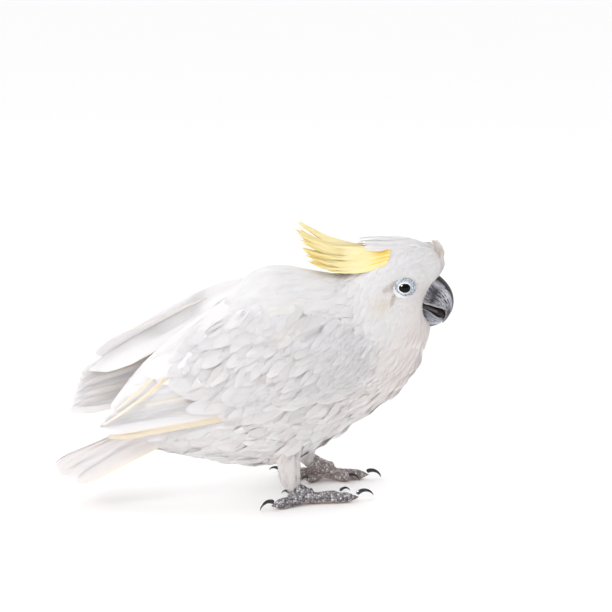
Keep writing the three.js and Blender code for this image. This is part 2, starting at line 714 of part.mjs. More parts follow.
// Each region of the bird is a group at its own reference point, and each mesh sits at its middle.
const footAt = ({ side, foot }) => [foot[0], side * foot[1], 0];
const REGIONS = {
  body: { at: [0, 0, 140], names: /^(trunk|tail)$/ },
  head: { at: [150, 0, 230], names: /^(neck|head|eye|eyelid|bill|tongue|crest|forelock)/ },
  wing_right: { at: [85, RIGHT * 67, 150], names: /^wing_right/ },
  wing_left: { at: [85, LEFT * 67, 150], names: /^wing_left/ },
  leg_right: { at: footAt(LEGS.right), names: /^(thigh|shank|toe|claw)_right/ },
  leg_left: { at: footAt(LEGS.left), names: /^(thigh|shank|toe|claw)_left/ },
};

const cockatoo = new THREE.Group();
const groups = {};
for (const [name, { at }] of Object.entries(REGIONS)) {
  groups[name] = new THREE.Group();
  groups[name].name = `region_${name}`;
  groups[name].position.set(...at);
  cockatoo.add(groups[name]);
}

function place(name, material, made) {
  const { numProp, vertProperties, triVerts } = made.getMesh();
  const count = vertProperties.length / numProp;
  const places = new Float32Array(count * 3);
  for (let i = 0; i < count; i++) places.set(vertProperties.subarray(i * numProp, i * numProp + 3), 3 * i);
  const geometry = new THREE.BufferGeometry().setAttribute("position", new THREE.BufferAttribute(places, 3));
  geometry.setIndex(new THREE.BufferAttribute(new Uint32Array(triVerts), 1));
  geometry.computeVertexNormals();
  geometry.computeBoundingBox();
  const middle = geometry.boundingBox.getCenter(new THREE.Vector3()).round();
  geometry.translate(-middle.x, -middle.y, -middle.z);
  const mesh = new THREE.Mesh(geometry, MATERIALS[material]);
  mesh.name = name;
  const group = groups[Object.keys(REGIONS).find((region) => REGIONS[region].names.test(name))];
  mesh.position.copy(middle).sub(group.position);
  group.add(mesh);
}

for (const [name, made] of Object.entries(divided)) place(name, "plumage", made);
for (const [name, { material, solid: made }] of parts) if (name !== "body") place(name, material, made);

export default cockatoo;
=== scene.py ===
"""The looks of a sulphur-crested cockatoo: one skin, solid feather vanes over it, and a bill, eyes and feet."""

import math

import bmesh
import bpy
import numpy as np
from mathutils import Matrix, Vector
from mathutils.bvhtree import BVHTree
from mathutils.kdtree import KDTree


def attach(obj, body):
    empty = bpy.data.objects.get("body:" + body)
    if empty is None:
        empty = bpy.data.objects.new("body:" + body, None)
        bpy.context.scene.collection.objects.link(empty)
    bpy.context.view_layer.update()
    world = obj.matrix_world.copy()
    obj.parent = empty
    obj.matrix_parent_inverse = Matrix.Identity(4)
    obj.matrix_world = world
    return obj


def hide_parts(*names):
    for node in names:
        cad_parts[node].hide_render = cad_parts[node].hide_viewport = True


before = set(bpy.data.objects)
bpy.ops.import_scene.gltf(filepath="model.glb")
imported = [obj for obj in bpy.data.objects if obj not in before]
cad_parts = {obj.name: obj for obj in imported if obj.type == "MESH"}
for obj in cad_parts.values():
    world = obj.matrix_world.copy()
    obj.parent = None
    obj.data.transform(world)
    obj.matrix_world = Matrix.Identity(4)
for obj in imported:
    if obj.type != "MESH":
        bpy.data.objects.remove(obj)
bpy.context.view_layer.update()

MM = 0.001
RIGHT, LEFT = -1, 1
rng = np.random.default_rng(4)

# ------------------------------------------------------------------ small helpers


def linear(code, alpha=1.0):
    """An sRGB hex colour as linear RGBA."""
    parts = [int(code[i : i + 2], 16) / 255 for i in (0, 2, 4)]
    return [c / 12.92 if c <= 0.04045 else ((c + 0.055) / 1.055) ** 2.4 for c in parts] + [alpha]


def mix(a, b, f):
    return a + (b - a) * f


def smooth(low, high, x):
    f = np.clip((np.asarray(x, float) - low) / (high - low), 0, 1)
    return f * f * (3 - 2 * f)


def unit(v):
    v = np.asarray(v, float)
    return v / np.maximum(np.linalg.norm(v, axis=-1, keepdims=True), 1e-9)


def dot(a, b):
    return (a * b).sum(-1, keepdims=True)


def curve_through(rows, samples=200):
    """A Catmull-Rom curve through rows of numbers, as a function of t from 0 to 1."""
    rows = np.asarray(rows, float)
    padded = np.vstack([2 * rows[0] - rows[1], rows, 2 * rows[-1] - rows[-2]])

    def read(t):
        t = np.clip(np.asarray(t, float), 0, 1) * (len(rows) - 1)
        i = np.minimum(t.astype(int), len(rows) - 2)
        f = (t - i)[..., None]
        a, b, c, d = (padded[i + k] for k in range(4))
        return 0.5 * (2 * b + (c - a) * f + (2 * a - 5 * b + 4 * c - d) * f**2 + (3 * b - 3 * c + d - a) * f**3)

    return read


def add_object(name, mesh, material, replaces=()):
    made = bpy.data.objects.new(name, mesh)
    bpy.context.scene.collection.objects.link(made)
    if material:
        mesh.materials.clear()
        mesh.materials.append(material)
    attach(made, "root")
    if replaces:
        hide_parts(*replaces)
    return made


def mesh_from(name, points_mm, faces, shade=True):
    """A mesh from an array of points in mm and a list or array of faces."""
    mesh = bpy.data.meshes.new(name)
    mesh.from_pydata((np.asarray(points_mm) * MM).tolist(), [], faces if isinstance(faces, list) else faces.tolist())
    mesh.polygons.foreach_set("use_smooth", np.full(len(mesh.polygons), shade))
    mesh.update()
    return mesh


def set_attribute(mesh, name, values):
    made = mesh.attributes.new(name, "FLOAT", "POINT")
    made.data.foreach_set("value", np.ascontiguousarray(values, np.float32))


def set_uv(mesh, uv):
    """Per-point UVs in the map named OFBake."""
    layer = mesh.uv_layers.new(name="OFBake")
    corner = np.empty(len(mesh.loops), np.int32)
    mesh.loops.foreach_get("vertex_index", corner)
    layer.data.foreach_set("uv", np.ascontiguousarray(uv[corner], np.float32).ravel())


def tube(name, rings, around, caps=True, values=None):
    """A closed loft. rings is an array (rings, around, 3) in mm; a bmesh grid is bent onto it.

    values are attributes given at each of the same places.
    """
    along = len(rings)
    bm = bmesh.new()
    bmesh.ops.create_grid(bm, x_segments=along - 1, y_segments=around, size=0.5)
    bm.verts.ensure_lookup_table()
    for v in bm.verts:
        i = int(round((v.co.x + 0.5) * (along - 1)))
        j = int(round((v.co.y + 0.5) * around)) % around
        v.co = Vector(rings[i][j]) * MM
    bmesh.ops.remove_doubles(bm, verts=bm.verts, dist=1e-7)
    bmesh.ops.dissolve_degenerate(bm, edges=bm.edges, dist=1e-8)
    if caps:
        bmesh.ops.holes_fill(bm, edges=[e for e in bm.edges if e.is_boundary], sides=0)
    bmesh.ops.recalc_face_normals(bm, faces=bm.faces)
    mesh = bpy.data.meshes.new(name)
    bm.to_mesh(mesh)
    bm.free()
    mesh.polygons.foreach_set("use_smooth", np.ones(len(mesh.polygons), bool))
    flat, points = np.asarray(rings, float).reshape(-1, 3), arrays_of(mesh)[0]
    where = np.concatenate([((flat[None] - part[:, None]) ** 2).sum(2).argmin(1) for part in np.array_split(points, 1 + len(points) // 500)])
    for attribute_name, value in (values or {}).items():
        set_attribute(mesh, attribute_name, np.asarray(value, float).reshape(-1)[where])
    return mesh


def arrays_of(mesh):
    """Points in mm and faces."""
    points = np.empty(len(mesh.vertices) * 3)
    mesh.vertices.foreach_get("co", points)
    return points.reshape(-1, 3) / MM, [tuple(p.vertices) for p in mesh.polygons]


def normals_of(mesh):
    normals = np.empty(len(mesh.vertices) * 3)
    mesh.vertex_normals.foreach_get("vector", normals)
    return normals.reshape(-1, 3)


def smooth_shaded(mesh):
    mesh.polygons.foreach_set("use_smooth", np.ones(len(mesh.polygons), bool))


# ------------------------------------------------------------------ materials


def node(tree, kind, inputs=None, **settings):
    """Adds a node; inputs are values or the sockets that feed them."""
    made = tree.nodes.new(kind)
    for key, value in settings.items():
        setattr(made, key, value)
    for key, value in (inputs or {}).items():
        if isinstance(value, bpy.types.NodeSocket):
            tree.links.new(value, made.inputs[key])
        else:
            made.inputs[key].default_value = value
    return made


def new_material(name, **shader):
    material = bpy.data.materials.new(name)
    material.use_nodes = True
    tree = material.node_tree
    tree.nodes.clear()
    principled = node(tree, "ShaderNodeBsdfPrincipled", shader)
    output = node(tree, "ShaderNodeOutputMaterial", {"Surface": principled.outputs[0]})
    return material, tree, principled


def attribute(tree, name):
    return node(tree, "ShaderNodeAttribute", attribute_name=name).outputs["Fac"]


def ramp(tree, factor, stops):
    """A colour ramp with (position, hex) stops."""
    made = node(tree, "ShaderNodeValToRGB", {"Fac": factor})
    elements = made.color_ramp.elements
    while len(elements) < len(stops):
        elements.new(0.5)
    for element, (position, code) in zip(elements, stops):
        element.position = position
        element.color = linear(code)
    return made.outputs["Color"]


def blend(tree, factor, a, b, kind="MIX"):
    made = node(tree, "ShaderNodeMix", data_type="RGBA", blend_type=kind)
    for index, value in ((0, factor), (6, a), (7, b)):
        if isinstance(value, bpy.types.NodeSocket):
            tree.links.new(value, made.inputs[index])
        else:
            made.inputs[index].default_value = value if index == 0 or not isinstance(value, str) else linear(value)
    return made.outputs[2]


def maths(tree, operation, a, b=0.0, clamp=False):
    made = node(tree, "ShaderNodeMath", operation=operation, use_clamp=clamp)
    for index, value in ((0, a), (1, b)):
        if isinstance(value, bpy.types.NodeSocket):
            tree.links.new(value, made.inputs[index])
        else:
            made.inputs[index].default_value = value
    return made.outputs[0]


def object_coords(tree):
    return node(tree, "ShaderNodeTexCoord").outputs["Object"]


def noise(tree, feature_mm, detail=3.0, stretch=None):
    """Noise whose features are about feature_mm across."""
    place = object_coords(tree)
    if stretch:
        place = node(tree, "ShaderNodeMapping", {"Vector": place, "Scale": stretch}).outputs[0]
    return node(tree, "ShaderNodeTexNoise", {"Vector": place, "Scale": 1 / (feature_mm * MM), "Detail": detail}).outputs["Fac"]


def bump(tree, principled, height, depth_mm, strength=1.0):
    made = node(tree, "ShaderNodeBump", {"Height": height, "Distance": depth_mm * MM, "Strength": strength})
    tree.links.new(made.outputs[0], principled.inputs["Normal"])


def to_base(tree, principled, colour):
    tree.links.new(colour, principled.inputs["Base Color"])


def plumage_material(name, barbs, whites, shade):
    """White feathers. tint is 0 where white, up to 1 where pinkish beige: painted warm shade. tone darkens at random
    and as painted shade; warm is the yellow of the inner webs.
    """
    material, tree, principled = new_material(
        name, **{"Roughness": 0.75, "Sheen Weight": 0.15, "Sheen Roughness": 0.5, "Specular IOR Level": 0.12,
                 "Subsurface Weight": 0.4, "Subsurface Scale": 1.5 * MM, "Subsurface Radius": (1.0, 1.0, 1.0)})
    white = ramp(tree, attribute(tree, "warm_shade"), list(zip((0.0, 0.5, 1.0), whites)))
    patchy = blend(tree, maths(tree, "MULTIPLY", noise(tree, 22), 0.35), white, shade)
    toned = blend(tree, attribute(tree, "tone"), patchy, "D8CECB")
    yellow = ramp(tree, attribute(tree, "warm"), [(0.0, "F0E9E0"), (0.35, "F0E0C4"), (0.7, "EFD59C"), (1.0, "EAC56E")])
    if barbs:
        # painted shade: each vane darkens towards its rim, as between overlapping feathers
        edge_shade = ramp(tree, attribute(tree, "aside"), [(0.84, "000000"), (1.0, "5A5A5A")])
        toned = blend(tree, edge_shade, toned, "B9AEAC")
    to_base(tree, principled, blend(tree, maths(tree, "MULTIPLY", attribute(tree, "warm"), 1.6, clamp=True), toned, yellow))
    if barbs:
        # barbs run out from the quill: fine ridges slanted along the vane
        slant = maths(tree, "ADD", maths(tree, "MULTIPLY", attribute(tree, "along"), barbs), maths(tree, "MULTIPLY", attribute(tree, "aside"), -0.35 * barbs))
        ridge = node(tree, "ShaderNodeMath", {0: maths(tree, "MULTIPLY", slant, 2 * math.pi)}, operation="SINE").outputs[0]
        rough = maths(tree, "ADD", ridge, maths(tree, "MULTIPLY", noise(tree, 1.5), 1.5))
        bump(tree, principled, rough, 0.06, 0.6)
    else:
        bump(tree, principled, noise(tree, 0.9), 0.1, 0.35)
    return material


# the last white of each, a pinkish beige, is painted warm shade
PLUMAGE = plumage_material("feather_white", 0, ("FAF9FB", "FAF7F7", "F9F1EE"), "F6F3F5")
VANE = plumage_material("feather_vane_white", 60, ("EFEEF1", "EFEBEC", "EDE5E3"), "E7E3E6")


def skin_material():
    """The down under the feathers, with the same pinkish beige painted warm shade as the plumage."""
    material, tree, principled = new_material("down_white", **{"Roughness": 0.9, "Sheen Weight": 0.2, "Specular IOR Level": 0.15})
    white = ramp(tree, attribute(tree, "warm_shade"), [(0.0, "F6F5F7"), (0.5, "F5F0F0"), (1.0, "F3EAE7")])
    to_base(tree, principled, blend(tree, maths(tree, "MULTIPLY", noise(tree, 12), 0.4), white, "EDE8EA"))
    bump(tree, principled, noise(tree, 1.2), 0.3, 0.7)
    return material


def crest_material():
    """Crest feathers: lemon yellow, deepest near the root and along the lower edge, white on the top ones."""
    material, tree, principled = new_material("feather_crest", **{"Roughness": 0.7, "Sheen Weight": 0.2, "Specular IOR Level": 0.25})
    streak = maths(tree, "MULTIPLY", maths(tree, "SUBTRACT", noise(tree, 3, stretch=(0.15, 1, 1)), 0.5), 0.5)
    depth = maths(tree, "ADD", attribute(tree, "warm"), streak, clamp=True)
    to_base(tree, principled, ramp(tree, depth, [(0.0, "E6E2D9"), (0.2, "EAE0BA"), (0.5, "E8D797"), (0.75, "E7CE74"), (1.0, "E5BC3A")]))
    bump(tree, principled, noise(tree, 0.8, stretch=(0.2, 1, 1)), 0.1, 0.6)
    return material


def horn_material(name, dark, middle, pale):
    """Horn grown in lines along the bill: a black rim along the culmen with a painted highlight just inside it, a worn
    pale cutting edge.

    over runs from 1 on the culmen to -1 on the cutting edge, reach is mm from the root, crown is 1 on
    the swollen middle of the side, painted pale as a highlight and darker away from it as shade, and stain is 1 on its
    dark patches of painted shade.
    """
    material, tree, principled = new_material(name, **{"Specular IOR Level": 0.4, "Coat Weight": 0.25, "Coat Roughness": 0.25})
    over, reach = attribute(tree, "over"), attribute(tree, "reach")
    lines = node(tree, "ShaderNodeCombineXYZ", {"X": maths(tree, "MULTIPLY", over, 6.0), "Y": maths(tree, "MULTIPLY", reach, 0.045)})
    streak = node(tree, "ShaderNodeTexNoise", {"Vector": lines.outputs[0], "Scale": 1.6, "Detail": 3, "Roughness": 0.55}).outputs["Fac"]
    mottle = noise(tree, 5, 3)
    both = maths(tree, "ADD", maths(tree, "MULTIPLY", streak, 0.75), maths(tree, "MULTIPLY", mottle, 0.25))
    base = ramp(tree, both, [(0.4, dark), (0.46, middle), (0.51, pale), (0.57, middle), (0.62, pale)])
    # painted highlight and shade: darker away from the side's swollen middle
    shaded = blend(tree, maths(tree, "MULTIPLY", maths(tree, "SUBTRACT", 1.0, attribute(tree, "crown")), 0.4), base, dark)
    # painted shade: dark patches at the root, underneath and at the hook
    patch_shaded = blend(tree, attribute(tree, "patch_shade"), shaded, dark)
    mauve = blend(tree, attribute(tree, "cere"), patch_shaded, "8A7B86")
    # painted highlight: a pale band just inside the dark culmen rim
    culmen_highlight = blend(tree, ramp(tree, over, [(0.28, "000000"), (0.46, "B4B4B4"), (0.6, "000000")]), mauve, "E2E1E8")
    rim = blend(tree, ramp(tree, over, [(0.62, "000000"), (0.76, "FFFFFF")]), culmen_highlight, "131317")
    worn = blend(tree, attribute(tree, "edge"), rim, "DAD8D6")
    to_base(tree, principled, blend(tree, attribute(tree, "root"), worn, "17141A"))
    tree.links.new(maths(tree, "ADD", maths(tree, "MULTIPLY", mottle, 0.3), 0.22), principled.inputs["Roughness"])
    bump(tree, principled, maths(tree, "ADD", streak, maths(tree, "MULTIPLY", noise(tree, 0.8), 0.5)), 0.25, 0.7)
    return material


def scale_material():
    """Foot skin: small raised scales, pale on top and dark between, pink tan underneath."""
    material, tree, principled = new_material("foot_scales", **{"Roughness": 0.68, "Specular IOR Level": 0.35})
    cells = node(tree, "ShaderNodeTexVoronoi", {"Vector": object_coords(tree), "Scale": 1 / (2.3 * MM), "Randomness": 0.8})
    hue = node(tree, "ShaderNodeSeparateColor", {"Color": cells.outputs["Color"]}).outputs[0]
    grey = ramp(tree, hue, [(0.0, "5F5D64"), (0.5, "8B898F"), (1.0, "D6D4D8")])
    crack = ramp(tree, cells.outputs["Distance"], [(0.35, "FFFFFF"), (0.6, "A09DA0"), (0.85, "454144")])
    scaled = blend(tree, 1.0, grey, crack, "MULTIPLY")
    # the warm blend is a paler pinkish tan, painted light, set stronger on the far foot than the near one
    warm = blend(tree, attribute(tree, "warm"), scaled, "D2BEB2")
    to_base(tree, principled, blend(tree, attribute(tree, "under"), warm, "B39C92"))
    height = maths(tree, "SUBTRACT", 1.0, cells.outputs["Distance"])
    bump(tree, principled, maths(tree, "ADD", height, maths(tree, "MULTIPLY", noise(tree, 0.5), 0.3)), 0.5, 0.9)
    return material


def bare_skin_material():
    """The bare ring round the eye: bluish white, finely wrinkled, and dark in its folds as painted shade."""
    material, tree, principled = new_material("eye_ring_skin", **{"Roughness": 0.55, "Subsurface Weight": 0.1, "Subsurface Scale": 0.002, "Specular IOR Level": 0.35})
    fine = noise(tree, 1.3, 4)
    pale = ramp(tree, fine, [(0.36, "6F7681"), (0.5, "B4BCC7"), (0.64, "DDE2E8")])
    lip = blend(tree, attribute(tree, "lip"), pale, "F0F3F6")
    # painted shade: darker in the folds
    to_base(tree, principled, blend(tree, attribute(tree, "fold_shade"), lip, "5B5A62"))
    bump(tree, principled, fine, 0.15, 0.7)
    return material


def eye_material():
    material, tree, principled = new_material("eye_dark", **{"Roughness": 0.04, "Specular IOR Level": 0.18})
    to_base(tree, principled, ramp(tree, attribute(tree, "iris"), [(0.0, "050404"), (0.45, "060404"), (0.55, "100906"), (0.9, "0B0605"), (1.0, "040303")]))
    return material


def plain_material(name, dark, pale, feature_mm, roughness, **more):
    material, tree, principled = new_material(name, **{"Roughness": roughness, **more})
    grain = noise(tree, feature_mm, 4)
    to_base(tree, principled, ramp(tree, grain, [(0.3, dark), (0.7, pale)]))
    bump(tree, principled, grain, 0.1, 0.5)
    return material


SKIN = skin_material()
CREST = crest_material()
BILL = horn_material("bill_slate_horn", "101015", "5F5E69", "DDDCE6")
LOWER_BILL = horn_material("lower_bill_horn", "24262E", "747884", "D2D6DF")
CLAW = plain_material("claw_horn", "0F1116", "2B303A", 2.5, 0.25, **{"Coat Weight": 0.4, "Coat Roughness": 0.15})
SCALES = scale_material()
EYE_RING = bare_skin_material()
EYE = eye_material()
TONGUE = plain_material("tongue", "242228", "8A8690", 1.5, 0.3)
# near black: partly the mouth's own colour, partly painted shade
MOUTH = plain_material("mouth_lining", "0B0708", "241416", 2.0, 0.5)

# ------------------------------------------------------------------ the skin

FLESH = ["trunk", "neck", "head", "thigh_right", "thigh_left", "wing_right_coverts", "wing_left_coverts"]


def node_arrays(name):
    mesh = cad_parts[name].data
    points = np.empty(len(mesh.vertices) * 3)
    mesh.vertices.foreach_get("co", points)
    faces = [tuple(p.vertices) for p in mesh.polygons]
    return points.reshape(-1, 3) / MM, faces


def merged_copy(name, nodes):
    points, faces, start = [], [], 0
    for n in nodes:
        p, f = node_arrays(n)
        points.append(p)
        faces += [tuple(start + i for i in face) for face in f]
        start += len(p)
    mesh = mesh_from(name, np.vstack(points), faces)
    bm = bmesh.new()
    bm.from_mesh(mesh)
    bmesh.ops.remove_doubles(bm, verts=bm.verts, dist=1e-6)
    bm.to_mesh(mesh)
    bm.free()
    return mesh


def modified(mesh, *modifiers):
    """The mesh after a list of (kind, settings) modifiers."""
    holder = bpy.data.objects.new("holder", mesh)
    bpy.context.scene.collection.objects.link(holder)
    for kind, settings in modifiers:
        made = holder.modifiers.new(kind, kind)
        for key, value in settings.items():
            setattr(made, key, value)
    graph = bpy.context.evaluated_depsgraph_get()
    result = bpy.data.meshes.new_from_object(holder.evaluated_get(graph))
    bpy.data.objects.remove(holder)
    return result




def nearest(points):
    """The nearest skin point to each point, and the skin's normal there."""
    found = [SKIN_TREE.find_nearest(tuple(p)) for p in points]
    return np.array([f[0] for f in found]), np.array([f[1] for f in found])


# The spine: middle of the body from the vent to the forehead, x and z in mm.
SPINE = curve_through(
    [(-136, 82), (-121, 84), (-98, 93), (-71, 107), (-44, 118), (-17, 129), (9, 137), (34, 146), (60, 154), (86, 163),
     (107, 170), (123, 177), (133, 186), (143, 198), (152, 211), (161, 222), (169, 232), (178, 237), (186, 239), (193, 240), (198.5, 240)]
)
spine_t = np.linspace(0, 1, 401)
spine_xz = SPINE(spine_t)
spine_tangent = unit(np.gradient(spine_xz, axis=0))


def station(points):
    """Station along the spine (0 vent, 1 forehead), angle round it (0 top, positive left) and its direction."""
    x, y, z = np.asarray(points).T
    gap = (x[:, None] - spine_xz[None, :, 0]) ** 2 + (z[:, None] - spine_xz[None, :, 1]) ** 2
    i = gap.argmin(1)
    t, tangent = spine_t[i], spine_tangent[i]
    up = (x - spine_xz[i, 0]) * -tangent[:, 1] + (z - spine_xz[i, 1]) * tangent[:, 0]
    return t, np.arctan2(y, up), np.stack([tangent[:, 0], np.zeros(len(x)), tangent[:, 1]], 1)


def unwrap(points):
    """A place on an unwrap of the body: along the spine, and round it from belly to belly."""
    t, angle, _ = station(points)
    return np.stack([0.02 + 0.96 * t, 0.5 + 0.48 * angle / math.pi], 1)


def warm_shade_at(points):
    """0 on the lavender white back to 1 on the throat and breast below: pinkish beige painted there as warm shade."""
    t, angle, _ = station(points)
    below = smooth(0.9, 2.4, np.abs(angle))
    front = smooth(0.35, 0.6, t) * (1 - smooth(0.82, 0.95, t))
    return np.clip(below * (0.45 + 0.55 * front), 0, 1)


EYE_AT = np.array([154.0, 23.6, 226.0])


def face_distance(points):
    """Distance to the nearer of the eye and the bill's root."""
    mirrored = np.abs(points) * [0, 1, 0] + points * [1, 0, 1]
    eye = np.linalg.norm((mirrored - EYE_AT) * [1, 0.6, 1.2], axis=1) - 8
    bill = np.linalg.norm((points - [190, 0, 208]) * [1, 0.9, 1], axis=1) - 16
    return np.maximum(0, np.minimum(eye, bill))


def on_leg(points):
    x, y, z = points.T
    return (z < 66) & (np.abs(y) > 18) & (x > 8) & (x < 78)


def feather_length(points):
    """Length of the contour feathers rooted at each point, in mm."""
    t, angle, _ = station(points)
    body = np.interp(t, [0.0, 0.15, 0.35, 0.5, 0.58, 0.65, 0.72, 1.0], [26, 28, 29, 24, 19, 15, 12, 11])
    length = np.where(t > 0.62, np.minimum(body, 3.6 + 0.28 * face_distance(points)), body)
    return np.where(on_leg(points), np.interp(points[:, 2], [16, 34, 62], [7, 13, 22]), length)


def coat_depth(points):
    """How far the skin lies inside the outline of the plumage, and deeper under the eye ring."""
    mirrored = np.abs(points) * [0, 1, 0] + points * [1, 0, 1]
    socket = 4.0 * (1 - smooth(11, 17, np.linalg.norm((mirrored - EYE_AT) * [0.9, 0.6, 1.1], axis=1)))
    gape = 3.4 * np.exp(-(np.linalg.norm((mirrored - [180, 10, 206]) * [1, 0.7, 0.55], axis=1) / 10) ** 2)
    return np.maximum(np.clip(0.09 * feather_length(points), 0.5, 2.4), socket) + gape


LUMPS = [(2 * math.pi / rng.uniform(17, 34) * unit(rng.normal(size=3)), rng.uniform(0, 6)) for _ in range(7)]


def swell(points):
    """The forehead and the rear of the crown stand up under their raised feathers."""
    forehead = np.exp(-(np.linalg.norm((points - [194, 0, 256]) * [1, 0.8, 0.75], axis=1) / 14) ** 2)
    crown = np.exp(-(np.linalg.norm((points - [134, 0, 268]) * [0.8, 1, 1], axis=1) / 20) ** 2)
    t, angle, _ = station(points)
    soft = smooth(0.7, 1.6, np.abs(angle)) * (1 - smooth(0.8, 0.9, t)) * (1 - 0.9 * on_leg(points))
    lumps = sum(np.sin(points @ wave + turn) for wave, turn in LUMPS) / 2
    return 7.0 * forehead + 5.0 * crown + 1.1 * soft * lumps


skin_mesh = modified(
    merged_copy("skin", FLESH + ["eye_right", "eye_left", "eyelid_right", "eyelid_left"]),
    ("REMESH", {"mode": "VOXEL", "voxel_size": 2.2 * MM}),
    ("SMOOTH", {"factor": 0.5, "iterations": 10}),
)
outer = arrays_of(skin_mesh)[0]
skin_mesh.vertices.foreach_set("co", ((outer + normals_of(skin_mesh) * (swell(outer) - coat_depth(outer))[:, None]) * MM).ravel())
skin_mesh = modified(skin_mesh, ("SMOOTH", {"factor": 0.5, "iterations": 3}))
smooth_shaded(skin_mesh)
skin_points, skin_faces = arrays_of(skin_mesh)
SKIN_TREE = BVHTree.FromPolygons([tuple(p) for p in skin_points], skin_faces)
add_object("skin", skin_mesh, SKIN, FLESH)
set_attribute(skin_mesh, "warm_shade", warm_shade_at(skin_points))
set_uv(skin_mesh, unwrap(skin_points))

# ------------------------------------------------------------------ feather templates


def template(across, along, blunt=2.4, tip_round=0.4, fray=0.0, base=0.35, widest=0.62, seed=0, thick=1.0):
    """One feather as a closed vane: rows of (along, aside, side, height) and its faces.

    along runs 0 to 1 from root to tip, aside -1 to 1 across it. Its edge is frayed into
    barbs by ending each column at its own length. The underside shares the vane's rim.
    """
    random = np.random.default_rng(seed)
    aside = np.linspace(-1, 1, across + 1)
    end = 1 - tip_round * np.abs(aside) ** blunt - fray * random.random(across + 1)
    if fray:
        end[1::2] -= 0.5 * fray
    rows = np.linspace(0, 1, along + 1)
    s = rows[:, None] * end[None, :]
    width = np.where(s < widest, mix(base, 1.0, np.sin(np.clip(s / widest, 0, 1) * math.pi / 2)), 1 - 0.25 * ((s - widest) / (1 - widest)) ** 2)
    wide = aside[None, :] * width
    if fray:
        wide = wide + (random.random((along + 1, across + 1)) - 0.5) * fray * 0.5 * rows[:, None] ** 2
    high = np.zeros_like(s)
    top = np.stack([s, wide, np.ones_like(s), high], -1).reshape(-1, 4)
    number = np.arange((along + 1) * (across + 1)).reshape(along + 1, across + 1)
    inner = np.full_like(number, -1)
    inner[1:-1, 1:-1] = len(top) + np.arange((along - 1) * (across - 1)).reshape(along - 1, across - 1)
    under = top.reshape(along + 1, across + 1, 4)[1:-1, 1:-1].reshape(-1, 4).copy()
    under[:, 2] = -1
    bottom = np.where(inner < 0, number, inner)
    faces = []
    for i in range(along):
        for j in range(across):
            faces.append((number[i, j], number[i + 1, j], number[i + 1, j + 1], number[i, j + 1]))
            faces.append((bottom[i, j], bottom[i, j + 1], bottom[i + 1, j + 1], bottom[i + 1, j]))
    is_rim = np.pad(np.pad(np.zeros((along - 1, across - 1), bool), 1, constant_values=True).ravel(), (0, len(under)))
    return np.vstack([top, under]), np.array(faces), is_rim


def lay_feathers(name, shape, root, middle, tip, normals, width, camber=0.18, thick=0.14, quill=0.0, tone=None,
                 warm_shade=None, warm=None, twist=0.0, material=None, slot="plumage", replaces=(), uv=None, patch=0.003):
    """Bends one template onto many feathers at once and joins them into one mesh.

    root, middle, tip are (n, 3) points in mm on each centre line, normals three such arrays,
    width the half width of each, and warm a function of (along, aside, index).
    """
    grid, faces, is_rim = shape
    n, k = len(root), len(grid)
    s = grid[None, :, 0, None]
    aside, side = grid[None, :, 1, None], grid[None, :, 2, None]
    control = 2 * middle - 0.5 * (root + tip)
    centre = (1 - s) ** 2 * root[:, None] + 2 * s * (1 - s) * control[:, None] + s**2 * tip[:, None]
    along = unit(2 * (1 - s) * (control - root)[:, None] + 2 * s * (tip - control)[:, None])
    up = unit((1 - s) * normals[0][:, None] + s * normals[2][:, None] + 2 * s * (1 - s) * normals[1][:, None])
    across = unit(np.cross(up, along))
    up = np.cross(along, across)
    roll = np.asarray(twist).reshape(-1, 1, 1) * s if np.ndim(twist) else twist * s
    across, up = across * np.cos(roll) + up * np.sin(roll), up * np.cos(roll) - across * np.sin(roll)
    wide = width[:, None, None]
    rim = 1 - np.abs(aside) ** 2
    height = camber * wide * rim + quill * np.exp(-((aside / 0.12) ** 2)) * (1 - 0.8 * s)
    height = height - (side < 0) * (thick + 0.5 * quill) * np.ones_like(wide)
    points = centre + across * (aside * wide) + up * height
    points = points.reshape(-1, 3)
    all_faces = (faces[None] + (np.arange(n) * k)[:, None, None]).reshape(-1, 4)
    mesh = mesh_from(name, points, all_faces)
    on_rim = np.tile(is_rim, n)
    ends = np.empty(2 * len(mesh.edges), np.int32)
    mesh.edges.foreach_get("vertices", ends)
    mesh.attributes.new("sharp_edge", "BOOLEAN", "EDGE").data.foreach_set("value", on_rim[ends].reshape(-1, 2).all(1))
    index = np.repeat(np.arange(n), k)
    s_all, a_all = np.tile(grid[:, 0], n), np.tile(grid[:, 1], n)
    set_attribute(mesh, "along", s_all)
    set_attribute(mesh, "aside", np.abs(a_all))
    set_attribute(mesh, "tone", (np.zeros(n) if tone is None else tone)[index])
    set_attribute(mesh, "warm_shade", (warm_shade_at(root) if warm_shade is None else np.asarray(warm_shade) * np.ones(n))[index])
    set_attribute(mesh, "warm", np.zeros(n * k) if warm is None else np.clip(warm(s_all, a_all, index), 0, 1))
    place = (unwrap(root) if uv is None else uv)[index]
    set_uv(mesh, place + patch * np.stack([s_all - 0.5, 0.5 * a_all], 1))
    return add_object(name, mesh, material or PLUMAGE, replaces)


# ------------------------------------------------------------------ the wings' surface

WING_ROWS = np.array([
    # x, half width, height of its middle, half height
    (132, 34, 158, 60), (112, 55, 155, 72), (85, 67, 150, 86), (40, 76, 146, 98), (-10, 76, 138, 98),
    (-60, 68, 125, 94), (-110, 58, 112, 84), (-160, 50, 99, 76), (-215, 43, 90, 70),
])
COVERT_ROWS = np.array([
    # x, top, bottom of the shoulder and coverts
    (123, 154, 150), (112, 177, 133), (85, 199, 121), (40, 217, 114), (2, 217, 106), (-30, 208, 116), (-58, 190, 132), (-80, 168, 152),
])


def wing_section(x):
    rows = WING_ROWS[::-1]
    return [np.interp(x, rows[:, 0], rows[:, k]) for k in (1, 2, 3)]


